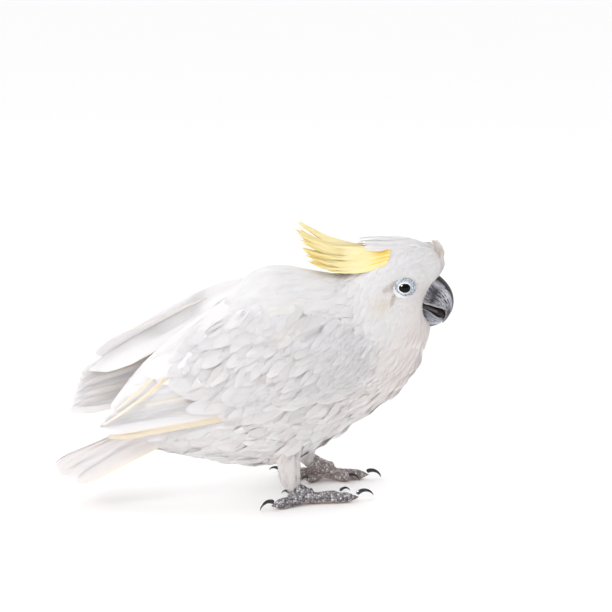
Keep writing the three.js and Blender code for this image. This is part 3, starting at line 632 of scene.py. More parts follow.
def on_wing(side, x, z, depth=0.0):
    """A point of the wing's outer surface, pushed in by depth."""
    wide, middle, high = wing_section(x)
    h = np.clip((z - middle) / high, -0.97, 0.97)
    return np.stack([x, side * (wide * np.sqrt(1 - h * h) - depth), z], -1)


def wing_normal(side, x, z):
    step = 3.0
    along = on_wing(side, x + step, z) - on_wing(side, x - step, z)
    up = on_wing(side, x, z + step) - on_wing(side, x, z - step)
    return unit(-side * np.cross(along, up))


def covert_edges(x, lift):
    rows = COVERT_ROWS[::-1]
    raised = lift * np.clip((60 - x) / 120, 0, 1)
    return np.interp(x, rows[:, 0], rows[:, 2]) + raised / 2, np.interp(x, rows[:, 0], rows[:, 1]) + raised


# ------------------------------------------------------------------ contour feathers over the body


def scatter(spacing_at, keep, tries=60000):
    """Random skin points no closer than spacing_at(point) to each other."""
    points, faces = skin_points, skin_faces
    corners = np.array([points[list(f[:3])] for f in faces])
    other = np.array([points[f[3]] if len(f) > 3 else points[f[2]] for f in faces])
    area = np.linalg.norm(np.cross(corners[:, 1] - corners[:, 0], corners[:, 2] - corners[:, 0]), axis=1) + 1e-9
    centre = (corners.sum(1) + other) / 4
    allowed = keep(centre)
    weight = area * allowed / spacing_at(centre) ** 2
    pick = rng.choice(len(faces), tries, p=weight / weight.sum())
    f = rng.random((tries, 2))
    a = mix(corners[pick, 0], corners[pick, 1], f[:, :1])
    b = mix(other[pick], corners[pick, 2], f[:, :1])
    found = mix(a, b, f[:, 1:])
    gap = spacing_at(found)
    cells, chosen = {}, []
    size = gap.max()
    keys = np.floor(found / size).astype(int)
    for i in range(tries):
        p, key = found[i], tuple(keys[i])
        near = [c for dx in (-1, 0, 1) for dy in (-1, 0, 1) for dz in (-1, 0, 1) for c in cells.get((key[0] + dx, key[1] + dy, key[2] + dz), ())]
        if near and (((found[near] - p) ** 2).sum(1) < gap[i] ** 2).any():
            continue
        cells.setdefault(key, []).append(i)
        chosen.append(i)
    return found[chosen]


def on_pad(points):
    """True on the outside of the wing's coverts, which have feathers of their own."""
    x, y, z = points.T
    side = np.where(y < 0, RIGHT, LEFT)
    bottom, top = covert_edges(x, np.where(side == LEFT, 9, 0))
    wing = on_wing(side, x, z)
    return (x < 121) & (x > -78) & (z > bottom + 1) & (z < top - 1) & (np.abs(y) > np.abs(wing[:, 1]) - 9)


def flow_at(points, normals):
    """The way the feathers lie: backwards along the spine, and down on the legs."""
    t, angle, forward = station(points)
    lie = -forward
    side = np.sign(points[:, 1])[:, None]
    cheek = smooth(0.66, 0.8, t)[:, None] * (1 - smooth(0.93, 1.0, t))[:, None]
    lie = lie + cheek * np.array([0.0, 0.0, -0.25]) + 0.12 * side * np.array([0, 1, 0])
    down = np.clip((66 - points[:, 2:3]) / 22, 0, 1) * on_leg(points)[:, None]
    lie = mix(lie, np.array([-0.12, 0, -1.0]), down)
    lie = lie - dot(lie, normals) * normals
    return unit(lie)


def follow(root, normal, lie, length, heights):
    """Root, middle and tip of feathers that follow the skin from root along lie, raised by heights."""
    half = 0.5 * length[:, None]
    p1, n1 = nearest(root + lie * half)
    lie1 = unit(lie - dot(lie, n1) * n1)
    p2, n2 = nearest(p1 + lie1 * half)
    far = np.linalg.norm(p2 - p1, axis=1) < 0.35 * length
    p2 = np.where(far[:, None], p1 + lie1 * half, p2)
    n2 = np.where(far[:, None], n1, n2)
    points = [root + normal * heights[0], p1 + n1 * heights[1], p2 + n2 * heights[2]]
    return points, [normal, n1, n2]


def crease_shade(points, a, b, reach):
    """1 on a line from a to b on the head's side, falling off over reach: where painted shade of a crease goes."""
    a, b = np.array(a, float), np.array(b, float)
    xz = points[:, [0, 2]]
    f = np.clip(((xz - a) @ (b - a)) / ((b - a) @ (b - a)), 0, 1)[:, None]
    return np.exp(-(np.linalg.norm(xz - mix(a, b, f), axis=1) / reach) ** 2) * (np.abs(points[:, 1]) > 12)


def ball(points, centre, reach):
    mirrored = np.abs(points) * [0, 1, 0] + points * [1, 0, 1]
    return np.exp(-(np.linalg.norm(mirrored - centre, axis=1) / reach) ** 2)


def contour(name, roots, variants, slender, camber=0.16, jitter=0.12, loose=0.0):
    """Contour feathers at the given skin points. loose is a function of the points: 1 where they stand up."""
    points, normals = nearest(roots)
    n = len(points)
    length = feather_length(points) * rng.uniform(0.85, 1.2, n)
    fluff = (loose(points) if callable(loose) else loose) * np.ones(n)
    lie = flow_at(points, normals)
    lie = unit(lie + (jitter * (1 + 1.5 * fluff))[:, None] * rng.normal(size=lie.shape))
    lie = unit(lie - dot(lie, normals) * normals)
    depth = coat_depth(points) * rng.uniform(0.75, 1.1, n) + 1.8 * fluff * rng.random(n)
    heights = [np.full((n, 1), -0.5), (0.42 * depth)[:, None], (0.7 * depth)[:, None]]
    (p0, p1, p2), (n0, n1, n2) = follow(points, normals, lie, length, heights)
    width = slender * length * rng.uniform(0.85, 1.15, n)
    # tone: random, plus painted shade on the legs and along two creases above and behind the eye
    tone = np.clip(rng.normal(0.06, 0.08, n) + 0.3 * fluff * rng.random(n), 0, 1) + 0.4 * on_leg(points)
    tone = tone + 1.6 * crease_shade(points, (135, 227), (146, 234), 2.2) + 1.6 * crease_shade(points, (141, 214), (145, 226), 1.8)
    blush = 0.35 * ball(points, [130, 30, 212], 13) + 0.3 * ball(points, [196, 0, 255], 10) + 0.28 * ball(points, [38, 60, 205], 14)
    pick = rng.integers(0, len(variants), n)
    for v, shape in enumerate(variants):
        m = pick == v
        lay_feathers(f"{name}_{v}", shape, p0[m], p1[m], p2[m], [n0[m], n1[m], n2[m]], width[m], camber, 0.1, tone=np.clip(tone[m], 0, 1),
                     warm=lambda s, a, i, b=blush[m]: b[i], twist=rng.normal(0, 0.08, m.sum()) * (1 + 2 * fluff[m]))


def clear_of_face(points):
    """False under the eye rings and over the bill's root."""
    mirrored = np.abs(points) * [0, 1, 0] + points * [1, 0, 1]
    eye = ((mirrored[:, 0] - EYE_AT[0] - 1.0) / 14.2) ** 2 + ((mirrored[:, 2] - EYE_AT[2] - 0.2) / 11.4) ** 2 < 1
    eye &= mirrored[:, 1] > 14
    mouth = (points[:, 0] > 171) & (points[:, 2] < 232) & (points[:, 2] > 178) & (np.abs(points[:, 1]) < 13)
    return ~(eye | mouth)


def fluffy(points):
    """Belly and vent feathers stand looser than the rest."""
    t, angle, _ = station(points)
    return smooth(1.9, 2.6, np.abs(angle)) * (1 - smooth(0.42, 0.55, t)) * 0.8


is_head = lambda p: station(p)[0] > 0.62
spacing = lambda p: 0.25 * feather_length(p)
head_roots = scatter(spacing, lambda p: is_head(p) & clear_of_face(p), 40000)
body_roots = scatter(spacing, lambda p: ~is_head(p) & ~on_pad(p), 50000)

SMALL = [template(4, 4, fray=0.22, tip_round=0.5, blunt=1.8, seed=s) for s in (1, 2, 3)]
SOFT = [template(6, 5, fray=0.2, tip_round=0.5, blunt=1.8, seed=s) for s in (11, 12, 13, 14)]
contour("head_feathers", head_roots, SMALL, 0.26)
contour("body_feathers", body_roots, SOFT, 0.26, loose=fluffy)

# hair-like tips that stand off the throat and breast
ruff = scatter(lambda p: 4.0 + 0 * p[:, 0], lambda p: (station(p)[0] > 0.42) & (station(p)[0] < 0.72) & (np.abs(station(p)[1]) > 2.3) & (p[:, 0] < 178), 6000)
points, normals = nearest(ruff)
lie = flow_at(points, normals)
length = rng.uniform(14, 26, len(points))
tips = points + lie * length[:, None] + normals * rng.uniform(0.8, 5.6, len(points))[:, None] + rng.normal(0, 1.2, points.shape)
middles = points + lie * 0.5 * length[:, None] + normals * rng.uniform(1.4, 3.0, len(points))[:, None]
WISP = template(2, 6, fray=0.3, tip_round=0.3, blunt=1.2, seed=61)
lay_feathers("breast_wisps", WISP, points, middles, tips, [normals] * 3, rng.uniform(0.6, 1.5, len(points)), 0.1, 0.1)

# ------------------------------------------------------------------ wings

WINGS = {
    "right": {"side": RIGHT, "lift": 0,
              "secondaries": ((58, 136), (-8, 196), (-22, 103), (-122, 150), 13, 14, -3, 6),
              "primaries": ((10, 124), (-20, 158), (-171, 88), (-142, 124), 11, 12, 0, 4),
              "underwing": ((10, 113), (-20, 138), (-158, 79.5), (-150, 96), 9, 10, -2, 0),
              "webs": ((-76, 181), (-80, 160), (-152, 109), (-164, 95), 1.7, 1.7, 3, 3),
              "tertials": (((12, 36, 210), (8, 18, 226)), ((-68, 42, 172), (-60, 24, 192)), ((-154, 36, 108), (-136, 18, 128)))},
    "left": {"side": LEFT, "lift": 9,
             "secondaries": ((58, 136), (-8, 208), (-30, 106), (-166, 150), 13, 16, -3, -3),
             "primaries": ((10, 124), (-24, 176), (-196, 90), (-181, 130), 11, 13, 0, 0),
             "tertials": (((12, 40, 220), (8, 16, 228)), ((-70, 43, 200), (-66, 18, 187)), ((-177, 38, 132), (-160, 12, 137)))},
}
FLIGHT = [template(8, 24, blunt=2.4, tip_round=0.13, fray=0.003, base=0.45, widest=0.3, seed=s) for s in (21, 22)]
COVERT = [template(6, 7, blunt=1.9, tip_round=0.42, fray=0.1, base=0.45, widest=0.55, seed=s) for s in (31, 32, 33)]


def strip_uv(count, row, rows):
    """Places for large feathers, each with a band of the map to itself."""
    f = (np.arange(count) + 0.5) / count
    return np.stack([np.full(count, 0.5), (row + f) / rows], 1)


def wing_fan(name, wing, key, count, depth, width, warm, replaces):
    side = wing["side"]
    (root_a, root_b, tip_a, tip_b, half_a, half_b, sag_a, sag_b) = wing[key]
    f = np.linspace(0, 1, count)[:, None]
    root, tip = mix(np.array(root_a), np.array(root_b), f), mix(np.array(tip_a), np.array(tip_b), f)
    sag = mix(sag_a, sag_b, f[:, 0])
    under = depth - 0.9 * np.linspace(0, 1, count)
    at = []
    for t in (0.0, 0.5, 1.0):
        xz = mix(root, tip, t)
        at.append((xz[:, 0], xz[:, 1] - sag * 4 * t * (1 - t)))
    points = [on_wing(side, x, z, under) for x, z in at]
    normals = [wing_normal(side, x, z) for x, z in at]
    half = mix(half_a, half_b, f[:, 0]) * width
    made = lay_feathers(name, FLIGHT[0], *points, normals, half, 0.10, 0.3, quill=0.5, tone=rng.uniform(0.0, 0.25, count), warm_shade=0.1, warm=warm,
                        twist=side * rng.uniform(-0.06, 0.02, count), material=VANE, replaces=replaces,
                        uv=strip_uv(count, 0, 1), patch=0.9 / count)
    return made


def web(strength, start=0.25):
    """Yellow on the outer part of each vane."""
    return lambda s, a, i: strength * smooth(start, 1.0, a)


for word, wing in WINGS.items():
    side = wing["side"]
    wing_fan(f"wing_{word}_secondary_vanes", wing, "secondaries", 9, 4.2, 1.0, web(0.34, 0.5), [f"wing_{word}_secondaries"])
    wing_fan(f"wing_{word}_primary_vanes", wing, "primaries", 7, 8.4, 1.0, web(0.45, 0.5), [f"wing_{word}_primaries"])
    if side == RIGHT:
        wing_fan(f"wing_{word}_under_vanes", wing, "underwing", 4, 12.5, 1.0, lambda s, a, i: 0.45 + 0 * s, [])
        # the tan inner webs that show between the innermost flight feathers
        wing_fan(f"wing_{word}_web_vanes", wing, "webs", 2, 2.0, 1.0, lambda s, a, i: 0.6 - 0.3 * s, [])
    count = 4 if side == RIGHT else 6
    f = np.linspace(0, 1, count)
    rows = [mix(np.array(a, float), np.array(b, float), f[:, None]) * [1, side, 1] for a, b in wing["tertials"]]
    lean = mix(1.1, 0.4, f) if side == RIGHT else np.full(count, -0.6)
    up = unit(np.stack([np.full(count, -0.3), side * lean, np.ones(count)], 1))
    lay_feathers(f"wing_{word}_tertial_vanes", FLIGHT[1], *rows, [up, up, up], np.full(count, 14.5), 0.06, 0.3, quill=0.3, warm_shade=0.05,
                 tone=rng.uniform(0.05, 0.3, count), warm=web(0.55, 0.6), material=VANE, replaces=[f"wing_{word}_tertials"], uv=strip_uv(count, 0, 1), patch=0.15)

    # coverts: rows of feathers over the pad, small at the shoulder and long at the rear edge
    roots = []
    x = 120.0
    while x > -66:
        length = float(np.interp(x, [-66, -20, 40, 90, 119], [43, 41, 33, 21, 12]))
        bottom, top = covert_edges(x, wing["lift"])
        count = max(1, int((top - bottom) / (0.2 * length)))
        for k in range(count):
            roots.append((x + rng.normal(0, 0.14 * length), mix(bottom, top, (k + rng.uniform(0.1, 0.9)) / count), length))
        x -= 0.24 * length
    x, z, length = np.array(roots).T
    bottom, top = covert_edges(x, wing["lift"])
    level = np.clip((z - bottom) / np.maximum(top - bottom, 1), 0, 1)
    ruffle = np.exp(-(((x - 5) / 55) ** 2)) * np.exp(-(((level - 0.5) / 0.33) ** 2))
    slope = np.radians(mix(12, 38, smooth(0.0, 0.55, level)) + rng.normal(0, 5 + 7 * ruffle, len(x)))
    length = length * rng.uniform(0.85, 1.2, len(x))
    stand = rng.random(len(x)) ** 2 * (0.9 + 3.4 * ruffle)
    at = []
    for t, depth in ((0.0, 3.2), (0.5, 1.6 - 0.5 * stand), (1.0, 0.9 - stand)):
        xs, zs = x - np.cos(slope) * length * t, z - np.sin(slope) * length * t
        at.append((xs, zs, depth))
    points = [on_wing(side, *p) for p in at]
    normals = [wing_normal(side, p[0], p[1]) for p in at]
    pick = rng.integers(0, 3, len(x))
    glow = 0.16 * np.exp(-(((x - 40) / 18) ** 2 + ((z - 203) / 9) ** 2)) * (side == RIGHT)
    # ruffled coverts darken more at random: painted shade in the creases between them
    shade = np.clip(rng.normal(0.06, 0.08, len(x)) + 0.5 * ruffle * rng.random(len(x)) ** 2, 0, 1)
    # lower coverts get more of the pinkish beige painted warm shade
    for v in range(3):
        m = pick == v
        lay_feathers(f"wing_{word}_covert_vanes_{v}", COVERT[v], *[p[m] for p in points], [q[m] for q in normals], (0.2 * length)[m], 0.1, 0.14,
                     quill=0.08, tone=shade[m], warm_shade=mix(0.1, 0.4, 1 - level[m]), warm=lambda s, a, i, g=glow[m]: g[i],
                     twist=side * rng.normal(0, 0.12, m.sum()) * (1 + ruffle[m]), material=VANE)

    # scapulars: long soft feathers that carry the back smoothly out over the top of the wing
    start = [(mix(84, -44, i / 13) + rng.normal(0, 3), side * mix(0.5, 58, k / 7) + rng.normal(0, 1.5), 262.0 - 5.0 * k) for i in range(14) for k in range(8)]
    roots, normals = nearest(np.array(start))
    long = rng.uniform(30, 40, len(roots))
    lie = unit(flow_at(roots, normals) + np.array([0, 0.1 * side, 0]) + rng.normal(0, 0.05, roots.shape))
    lie = unit(lie - dot(lie, normals) * normals)
    high = rng.uniform(0.45, 0.85, len(roots))[:, None]
    points, normals = follow(roots, normals, lie, long, [-0.6 * high, 1.5 * high, 1.7 * high])
    lay_feathers(f"scapulars_{word}", COVERT[0], *points, normals, 0.24 * long, 0.22, 0.12, tone=np.clip(rng.normal(0.04, 0.05, len(roots)), 0, 1),
                 warm_shade=0.0, warm=lambda s, a, i, g=0.2 * ball(roots, [46, 50, 214], 16): g[i])

# ------------------------------------------------------------------ tail

TAIL_COUNT = 12
place = np.linspace(-1, 1, TAIL_COUNT)
order = np.abs(place)


def tail_end(x, z, spread, shorter):
    back = shorter * ((order - 0.4) / 0.6) ** 2
    return np.stack([x + back, place * spread, z - 12 * order**1.6 * spread / 27 - 2.0 * order], 1)


tail_root, tail_tip = tail_end(-82, 90, 15, 0), tail_end(-212, 43.5, 27, 22)
tail_mid = mix(tail_root, tail_tip, 0.5) + [0, 0, 2]
tail_up = unit(np.stack([np.full(TAIL_COUNT, 0.3), np.sign(place) * 1.15 * order**0.6, np.ones(TAIL_COUNT)], 1))
lay_feathers("tail_vanes", FLIGHT[0], tail_root, tail_mid, tail_tip, [tail_up] * 3, np.full(TAIL_COUNT, 10.5), 0.12, 0.3, quill=0.5, warm_shade=0.3,
             tone=rng.uniform(0.25, 0.55, TAIL_COUNT), warm=web(0.42, 0.4), material=VANE, replaces=["tail"], uv=strip_uv(TAIL_COUNT, 0, 1), patch=0.07)

# ------------------------------------------------------------------ crest and forehead tuft

CREST_COUNT = 56
f = np.linspace(0, 1, CREST_COUNT)
row = np.where(np.arange(CREST_COUNT) % 2, 1, -1) * rng.uniform(0.1, 1.15, CREST_COUNT)
TIP_GROUPS = np.linspace(0, 1, 6)  # the plumes gather into six curled points
gathered = mix(f, TIP_GROUPS[np.abs(f[:, None] - TIP_GROUPS).argmin(1)], 0.6)
tip_line = curve_through([(41, 298), (38, 287), (43.5, 276), (46.5, 266.5), (49.5, 258), (54, 249.5)])


def crest_at(xz, y, wobble):
    xz = xz + rng.normal(0, wobble, (CREST_COUNT, 2))
    return np.stack([xz[:, 0], row * y * mix(0.3, 1.0, f), xz[:, 1]], 1)


crest_root = crest_at(mix(np.array([150.0, 269]), np.array([136.0, 254]), f[:, None]), 6, 0.8)
crest_mid = crest_at(mix(np.array([98.0, 267.5]), np.array([98.0, 242]), f[:, None]), 9, 0.9)
crest_tip = crest_at(tip_line(gathered), 11, 0.9)
crest_tip[:, 0] += 9 * rng.random(CREST_COUNT) ** 2
crest_up = unit(np.stack([np.zeros(CREST_COUNT), np.sign(row), np.full(CREST_COUNT, 0.3)], 1))
PLUME = template(6, 18, blunt=1.3, tip_round=0.42, fray=0.02, base=0.5, widest=0.35, seed=41)
lay_feathers("crest_vanes", PLUME, crest_root, crest_mid, crest_tip, [crest_up] * 3, rng.uniform(3.0, 5.0, CREST_COUNT), 0.12, 0.16, quill=0.2,
             warm_shade=0.2, twist=rng.normal(0, 0.1, CREST_COUNT), material=CREST, slot="crest", replaces=["crest"],
             warm=lambda s, a, i: 0.36 + 0.18 * f[i] + 0.12 * smooth(0.6, 1, s) + 0.2 * smooth(0.5, 1, a), uv=strip_uv(CREST_COUNT, 0, 1), patch=0.015)

# the crest's side feathers start on the crown, deep yellow at the root
SIDE = 16
k = np.tile(np.linspace(0, 1, SIDE), 2)
side = np.repeat([RIGHT, LEFT], SIDE)


def beside(x, z):
    """The skin at (x, z), met from the side that each feather is on."""
    hits = [SKIN_TREE.ray_cast((a, 80.0 * b, c), (0, -b, 0))[:2] for a, b, c in zip(x, side, z)]
    return np.array([h[0] for h in hits]), np.array([h[1] for h in hits])


root, root_up = beside(mix(142, 137, k), mix(264.8, 252.0, k))
half_way = np.stack([mix(116, 109, k), side * mix(11, 18, k), mix(265.5, 243, k)], 1)
tip = np.stack([mix(80, 74, k) + rng.normal(0, 4, 2 * SIDE), side * mix(8, 12, k), mix(269, 243, k)], 1)
outward = np.stack([0 * k, side * 1.0, 0 * k + 0.25], 1)
stroke = np.where(np.arange(2 * SIDE) % 4 < 2, 1.0, 0.35)
lay_feathers("crest_side_vanes", PLUME, root + 1.3 * root_up, half_way, tip, [root_up, outward, outward], rng.uniform(1.7, 2.6, 2 * SIDE), 0.15, 0.15,
             material=CREST, slot="crest", warm=lambda s, a, i: 0.4 + 0.6 * (1 - smooth(0.1, 0.55, s)) * stroke[i],
             uv=strip_uv(2 * SIDE, 0, 1), patch=0.03)

# white feathers of the crown: short ones all over it, and long ones that run back over the crest's root
CAP = 150
x0, y0 = rng.uniform(146, 190, CAP), rng.uniform(-20, 20, CAP)
root, root_up = nearest(np.stack([x0, y0, np.full(CAP, 300.0)], 1))
long = rng.uniform(14, 22, CAP)
lie = unit(np.stack([np.full(CAP, -1.0), 0.1 * y0 / 15, 0 * x0], 1) + rng.normal(0, 0.05, (CAP, 3)))
lie = unit(lie - dot(lie, root_up) * root_up)
lifted = (1 - (y0 / 24) ** 2)[:, None]
points, ups = follow(root, root_up, lie, long, [np.full((CAP, 1), -0.4), rng.uniform(0.6, 1.6, (CAP, 1)) * lifted, rng.uniform(0.8, 2.2, (CAP, 1)) * lifted])
lay_feathers("crown_vanes", SOFT[0], *points, ups, rng.uniform(2.4, 3.8, CAP), 0.06, 0.1, warm_shade=0.1, tone=np.clip(rng.normal(0.03, 0.04, CAP), 0, 1))

RIDGE = 110
x0, y0 = rng.uniform(146, 176, RIDGE), rng.uniform(-14, 14, RIDGE)
root, root_up = nearest(np.stack([x0, y0, np.full(RIDGE, 300.0)], 1))
tip = np.stack([x0 - rng.uniform(34, 46, RIDGE), 0.75 * y0, 272.6 - 0.03 * y0**2 + rng.normal(0, 0.5, RIDGE)], 1)
tip[:, 0] = np.maximum(tip[:, 0], 106 + 0.4 * y0**1.0 * np.sign(y0))
half_way = np.stack([mix(root[:, 0], tip[:, 0], 0.5), 0.95 * y0, 276.2 - 0.042 * y0**2 + rng.normal(0, 0.3, RIDGE)], 1)
upright = unit(np.stack([0 * y0 - 0.05, y0 / 14, 0 * y0 + 1], 1))
sunk = 2.2 * rng.random(RIDGE)
tip[:, 2] -= sunk
half_way[:, 2] -= sunk
lay_feathers("crown_plumes", PLUME, root - 0.5 * root_up, half_way, tip, [root_up, upright, upright], rng.uniform(3.0, 4.8, RIDGE), 0.2, 0.1,
             warm_shade=0.05, tone=np.clip(rng.normal(0.02, 0.03, RIDGE), 0, 1), warm=lambda s, a, i: 0.12 * smooth(0.6, 1, s))

# forehead feathers sweep up from the bill, and the top ones curl free of the crown
TUFT = 320
g, h = rng.uniform(-1, 1, TUFT), rng.uniform(0, 1, TUFT)
root, root_up = nearest(np.stack([mix(206, 192, h), g * mix(12, 10, h), mix(231, 268, h)], 1))
lie = unit(np.stack([mix(0.1, -0.7, h), 0.12 * g, np.ones(TUFT)], 1) + rng.normal(0, 0.06, (TUFT, 3)))
lie = unit(lie - dot(lie, root_up) * root_up)
points, ups = follow(root, root_up, lie, rng.uniform(11, 17, TUFT), [np.full((TUFT, 1), -0.4), rng.uniform(0.4, 1.3, (TUFT, 1)), rng.uniform(0.6, 2.0, (TUFT, 1))])
free = (smooth(0.3, 0.6, h) * (1 - smooth(0.75, 0.9, h)) * rng.uniform(0.2, 1, TUFT))[:, None]
curl = rng.normal(0, 1, (TUFT, 3)) * [2.2, 0.6, 0.9]
points[1] = mix(points[1], root * [0, 0.95, 0] + [198.6, 0, 262.5] + 0.5 * curl, free)
points[2] = mix(points[2], root * [0, 0.8, 0] + [187, 0, 274] + curl, free)
lay_feathers("forelock_vanes", SOFT[1], *points, ups, rng.uniform(1.3, 2.3, TUFT), 0.12, 0.1, warm_shade=0.6,
             tone=np.clip(rng.normal(0.04, 0.05, TUFT), 0, 1), warm=lambda s, a, i: 0.3 * np.exp(-(((h[i] - 0.55) / 0.2) ** 2)), replaces=["forelock"])

# ------------------------------------------------------------------ bill, mouth and tongue

UPPER = [  # ridge (x, z), cutting edge (x, z), half width
    (184, 238, 170, 212, 9.5), (194.9, 233.6, 177.7, 205.6, 12.6), (204.2, 225, 184.4, 203.6, 12.4),
    (210, 215.2, 190.4, 201.2, 11.2), (212, 205.2, 196, 199.4, 9.2), (210.6, 196, 202, 196.6, 6.4),
    (207.2, 189.2, 203, 190.4, 4.2), (203.4, 183.8, 201.4, 185.6, 2.2), (199.8, 181.2, 199.8, 181.2, 0.0),
]
LOWER = [
    (174, 181, 166, 202, 8), (182.6, 178.2, 176, 200.4, 10.4), (188, 178.4, 184.2, 196, 10.6), (193.2, 179.8, 190, 191.8, 9.4),
    (196.8, 181.2, 194.8, 188.8, 7.2), (199.4, 183.2, 198.6, 187.8, 4.4), (201.2, 185.8, 201.2, 185.8, 0.0),
]


def mandible(name, table, ridge, material, node_name, hollow, bright, shade_patches, cere=None):
    """A horn loft with a ridge, a hollow between its cutting edges and a worn rim."""
    along, around = 72, 56
    row = curve_through(table)(np.linspace(0.0, 1.0, along))
    angle = np.linspace(0, 2 * math.pi, around, endpoint=False)
    outer, inner, half = row[:, :2], row[:, 2:4], np.maximum(row[:, 4], 0)
    middle, axis = (outer + inner) / 2, (outer - inner) / 2
    # a rounded culmen, straight side walls down to the cutting edges, and a hollow between them
    c, s = np.cos(angle), np.sin(angle)
    q = np.clip((np.degrees(np.arccos(c)) - 90) / 45, 0, 2)
    inside = np.clip(q - 1, 0, 1)
    c = np.where(q > 0, -np.sin(np.minimum(q, 1) * math.pi / 2) + hollow * np.sin(inside * math.pi / 2) ** 2, c)
    wide = np.where(q > 0, np.where(q < 1, 1 - 0.16 * q**2, 0.84 * (2 - q) ** 0.8), np.abs(s) ** 0.85)
    xz = middle[:, None] + axis[:, None] * c[None, :, None]
    y = half[:, None] * (np.sign(s) * wide)[None] * (1 - ridge * np.cos(angle))[None]
    rings = np.stack([xz[..., 0], y, xz[..., 1]], -1)
    reach = np.concatenate([[0], np.cumsum(np.linalg.norm(np.diff(middle, axis=0), axis=1))])[:, None] + 0 * y
    edge = 0.85 * (1 - smooth(0.0, 0.3, np.abs(q - 0.92)))[None] * smooth(4, 12, reach)
    root = 0.85 * (1 - smooth(1.0, 3.5, reach))
    mauve = 0 * y if cere is None else 0.8 * np.exp(-(np.linalg.norm(rings - np.array(cere) * np.stack([1 + 0 * y, np.sign(y), 1 + 0 * y], -1), axis=2) / 6.5) ** 2)
    # painted highlight on the side's swollen middle, the palest, and painted shade at the root and the hook, the
    # darkest
    crown = np.exp(-(((rings[..., 0] - bright[0]) / 8) ** 2) - ((rings[..., 2] - bright[1]) / 10) ** 2)
    patch_shade = sum(np.exp(-(((rings[..., 0] - x) ** 2 + (rings[..., 2] - z) ** 2) / size**2)) for x, z, size in shade_patches)
    values = {"over": c[None] + 0 * y, "reach": reach, "edge": edge, "root": root, "cere": mauve, "crown": crown,
              "patch_shade": np.clip(patch_shade, 0, 1)}
    add_object(name, tube(name, rings, around, values=values), material, [node_name])


# the pairs are the centre of each bill's painted highlight, the dark spots its painted shade
mandible("upper_bill", UPPER, 0.3, BILL, "bill_upper", 0.35, (202, 212), [(189, 217, 6), (186, 208, 4), (208, 193, 6)], (190, 7, 229))
mandible("lower_bill", LOWER, 0.12, LOWER_BILL, "bill_lower", 0.35, (191, 184), [(177, 196, 5), (182, 181, 4)])

# the lining of the mouth, behind the tongue: near black, partly its own dark colour and partly painted shade inside
# the mouth
t = np.linspace(0, 1, 20)
turn = np.linspace(0, 2 * math.pi, 24, endpoint=False)
line = np.stack([mix(167, 203.6, t), 0 * t, mix(201.4, 190.4, t)], 1)
round_off = np.sqrt(np.clip(1 - (2 * t - 1) ** 8, 0, 1))
rings = line[:, None] + round_off[:, None, None] * np.stack([0 * turn, 5.4 * np.cos(turn), 8.2 * np.sin(turn)], -1)[None] * mix(1.0, 0.72, t)[:, None, None]
add_object("mouth_lining", tube("mouth_lining", rings, 24), MOUTH)

tongue_t = np.linspace(0, 1, 24)
tongue_angle = np.linspace(0, 2 * math.pi, 20, endpoint=False)
tongue_line = np.stack([mix(170, 195.5, tongue_t), np.zeros(24), mix(203, 193.6, tongue_t) + 1.0 * np.sin(tongue_t * math.pi)], 1)
tongue_round = np.sqrt(np.clip(1 - (2 * tongue_t - 1) ** 6, 0, 1))
rings = tongue_line[:, None] + tongue_round[:, None, None] * np.stack([0 * tongue_angle, 6.2 * np.cos(tongue_angle), 2.6 * np.sin(tongue_angle)], -1)[None]
add_object("tongue_piece", tube("tongue_piece", rings, 20), TONGUE, ["tongue"])

# ------------------------------------------------------------------ eyes

OPENING = (6.2, 4.9)  # half width and half height of the lids' opening
RING_OUT = (12.4, 10.6)


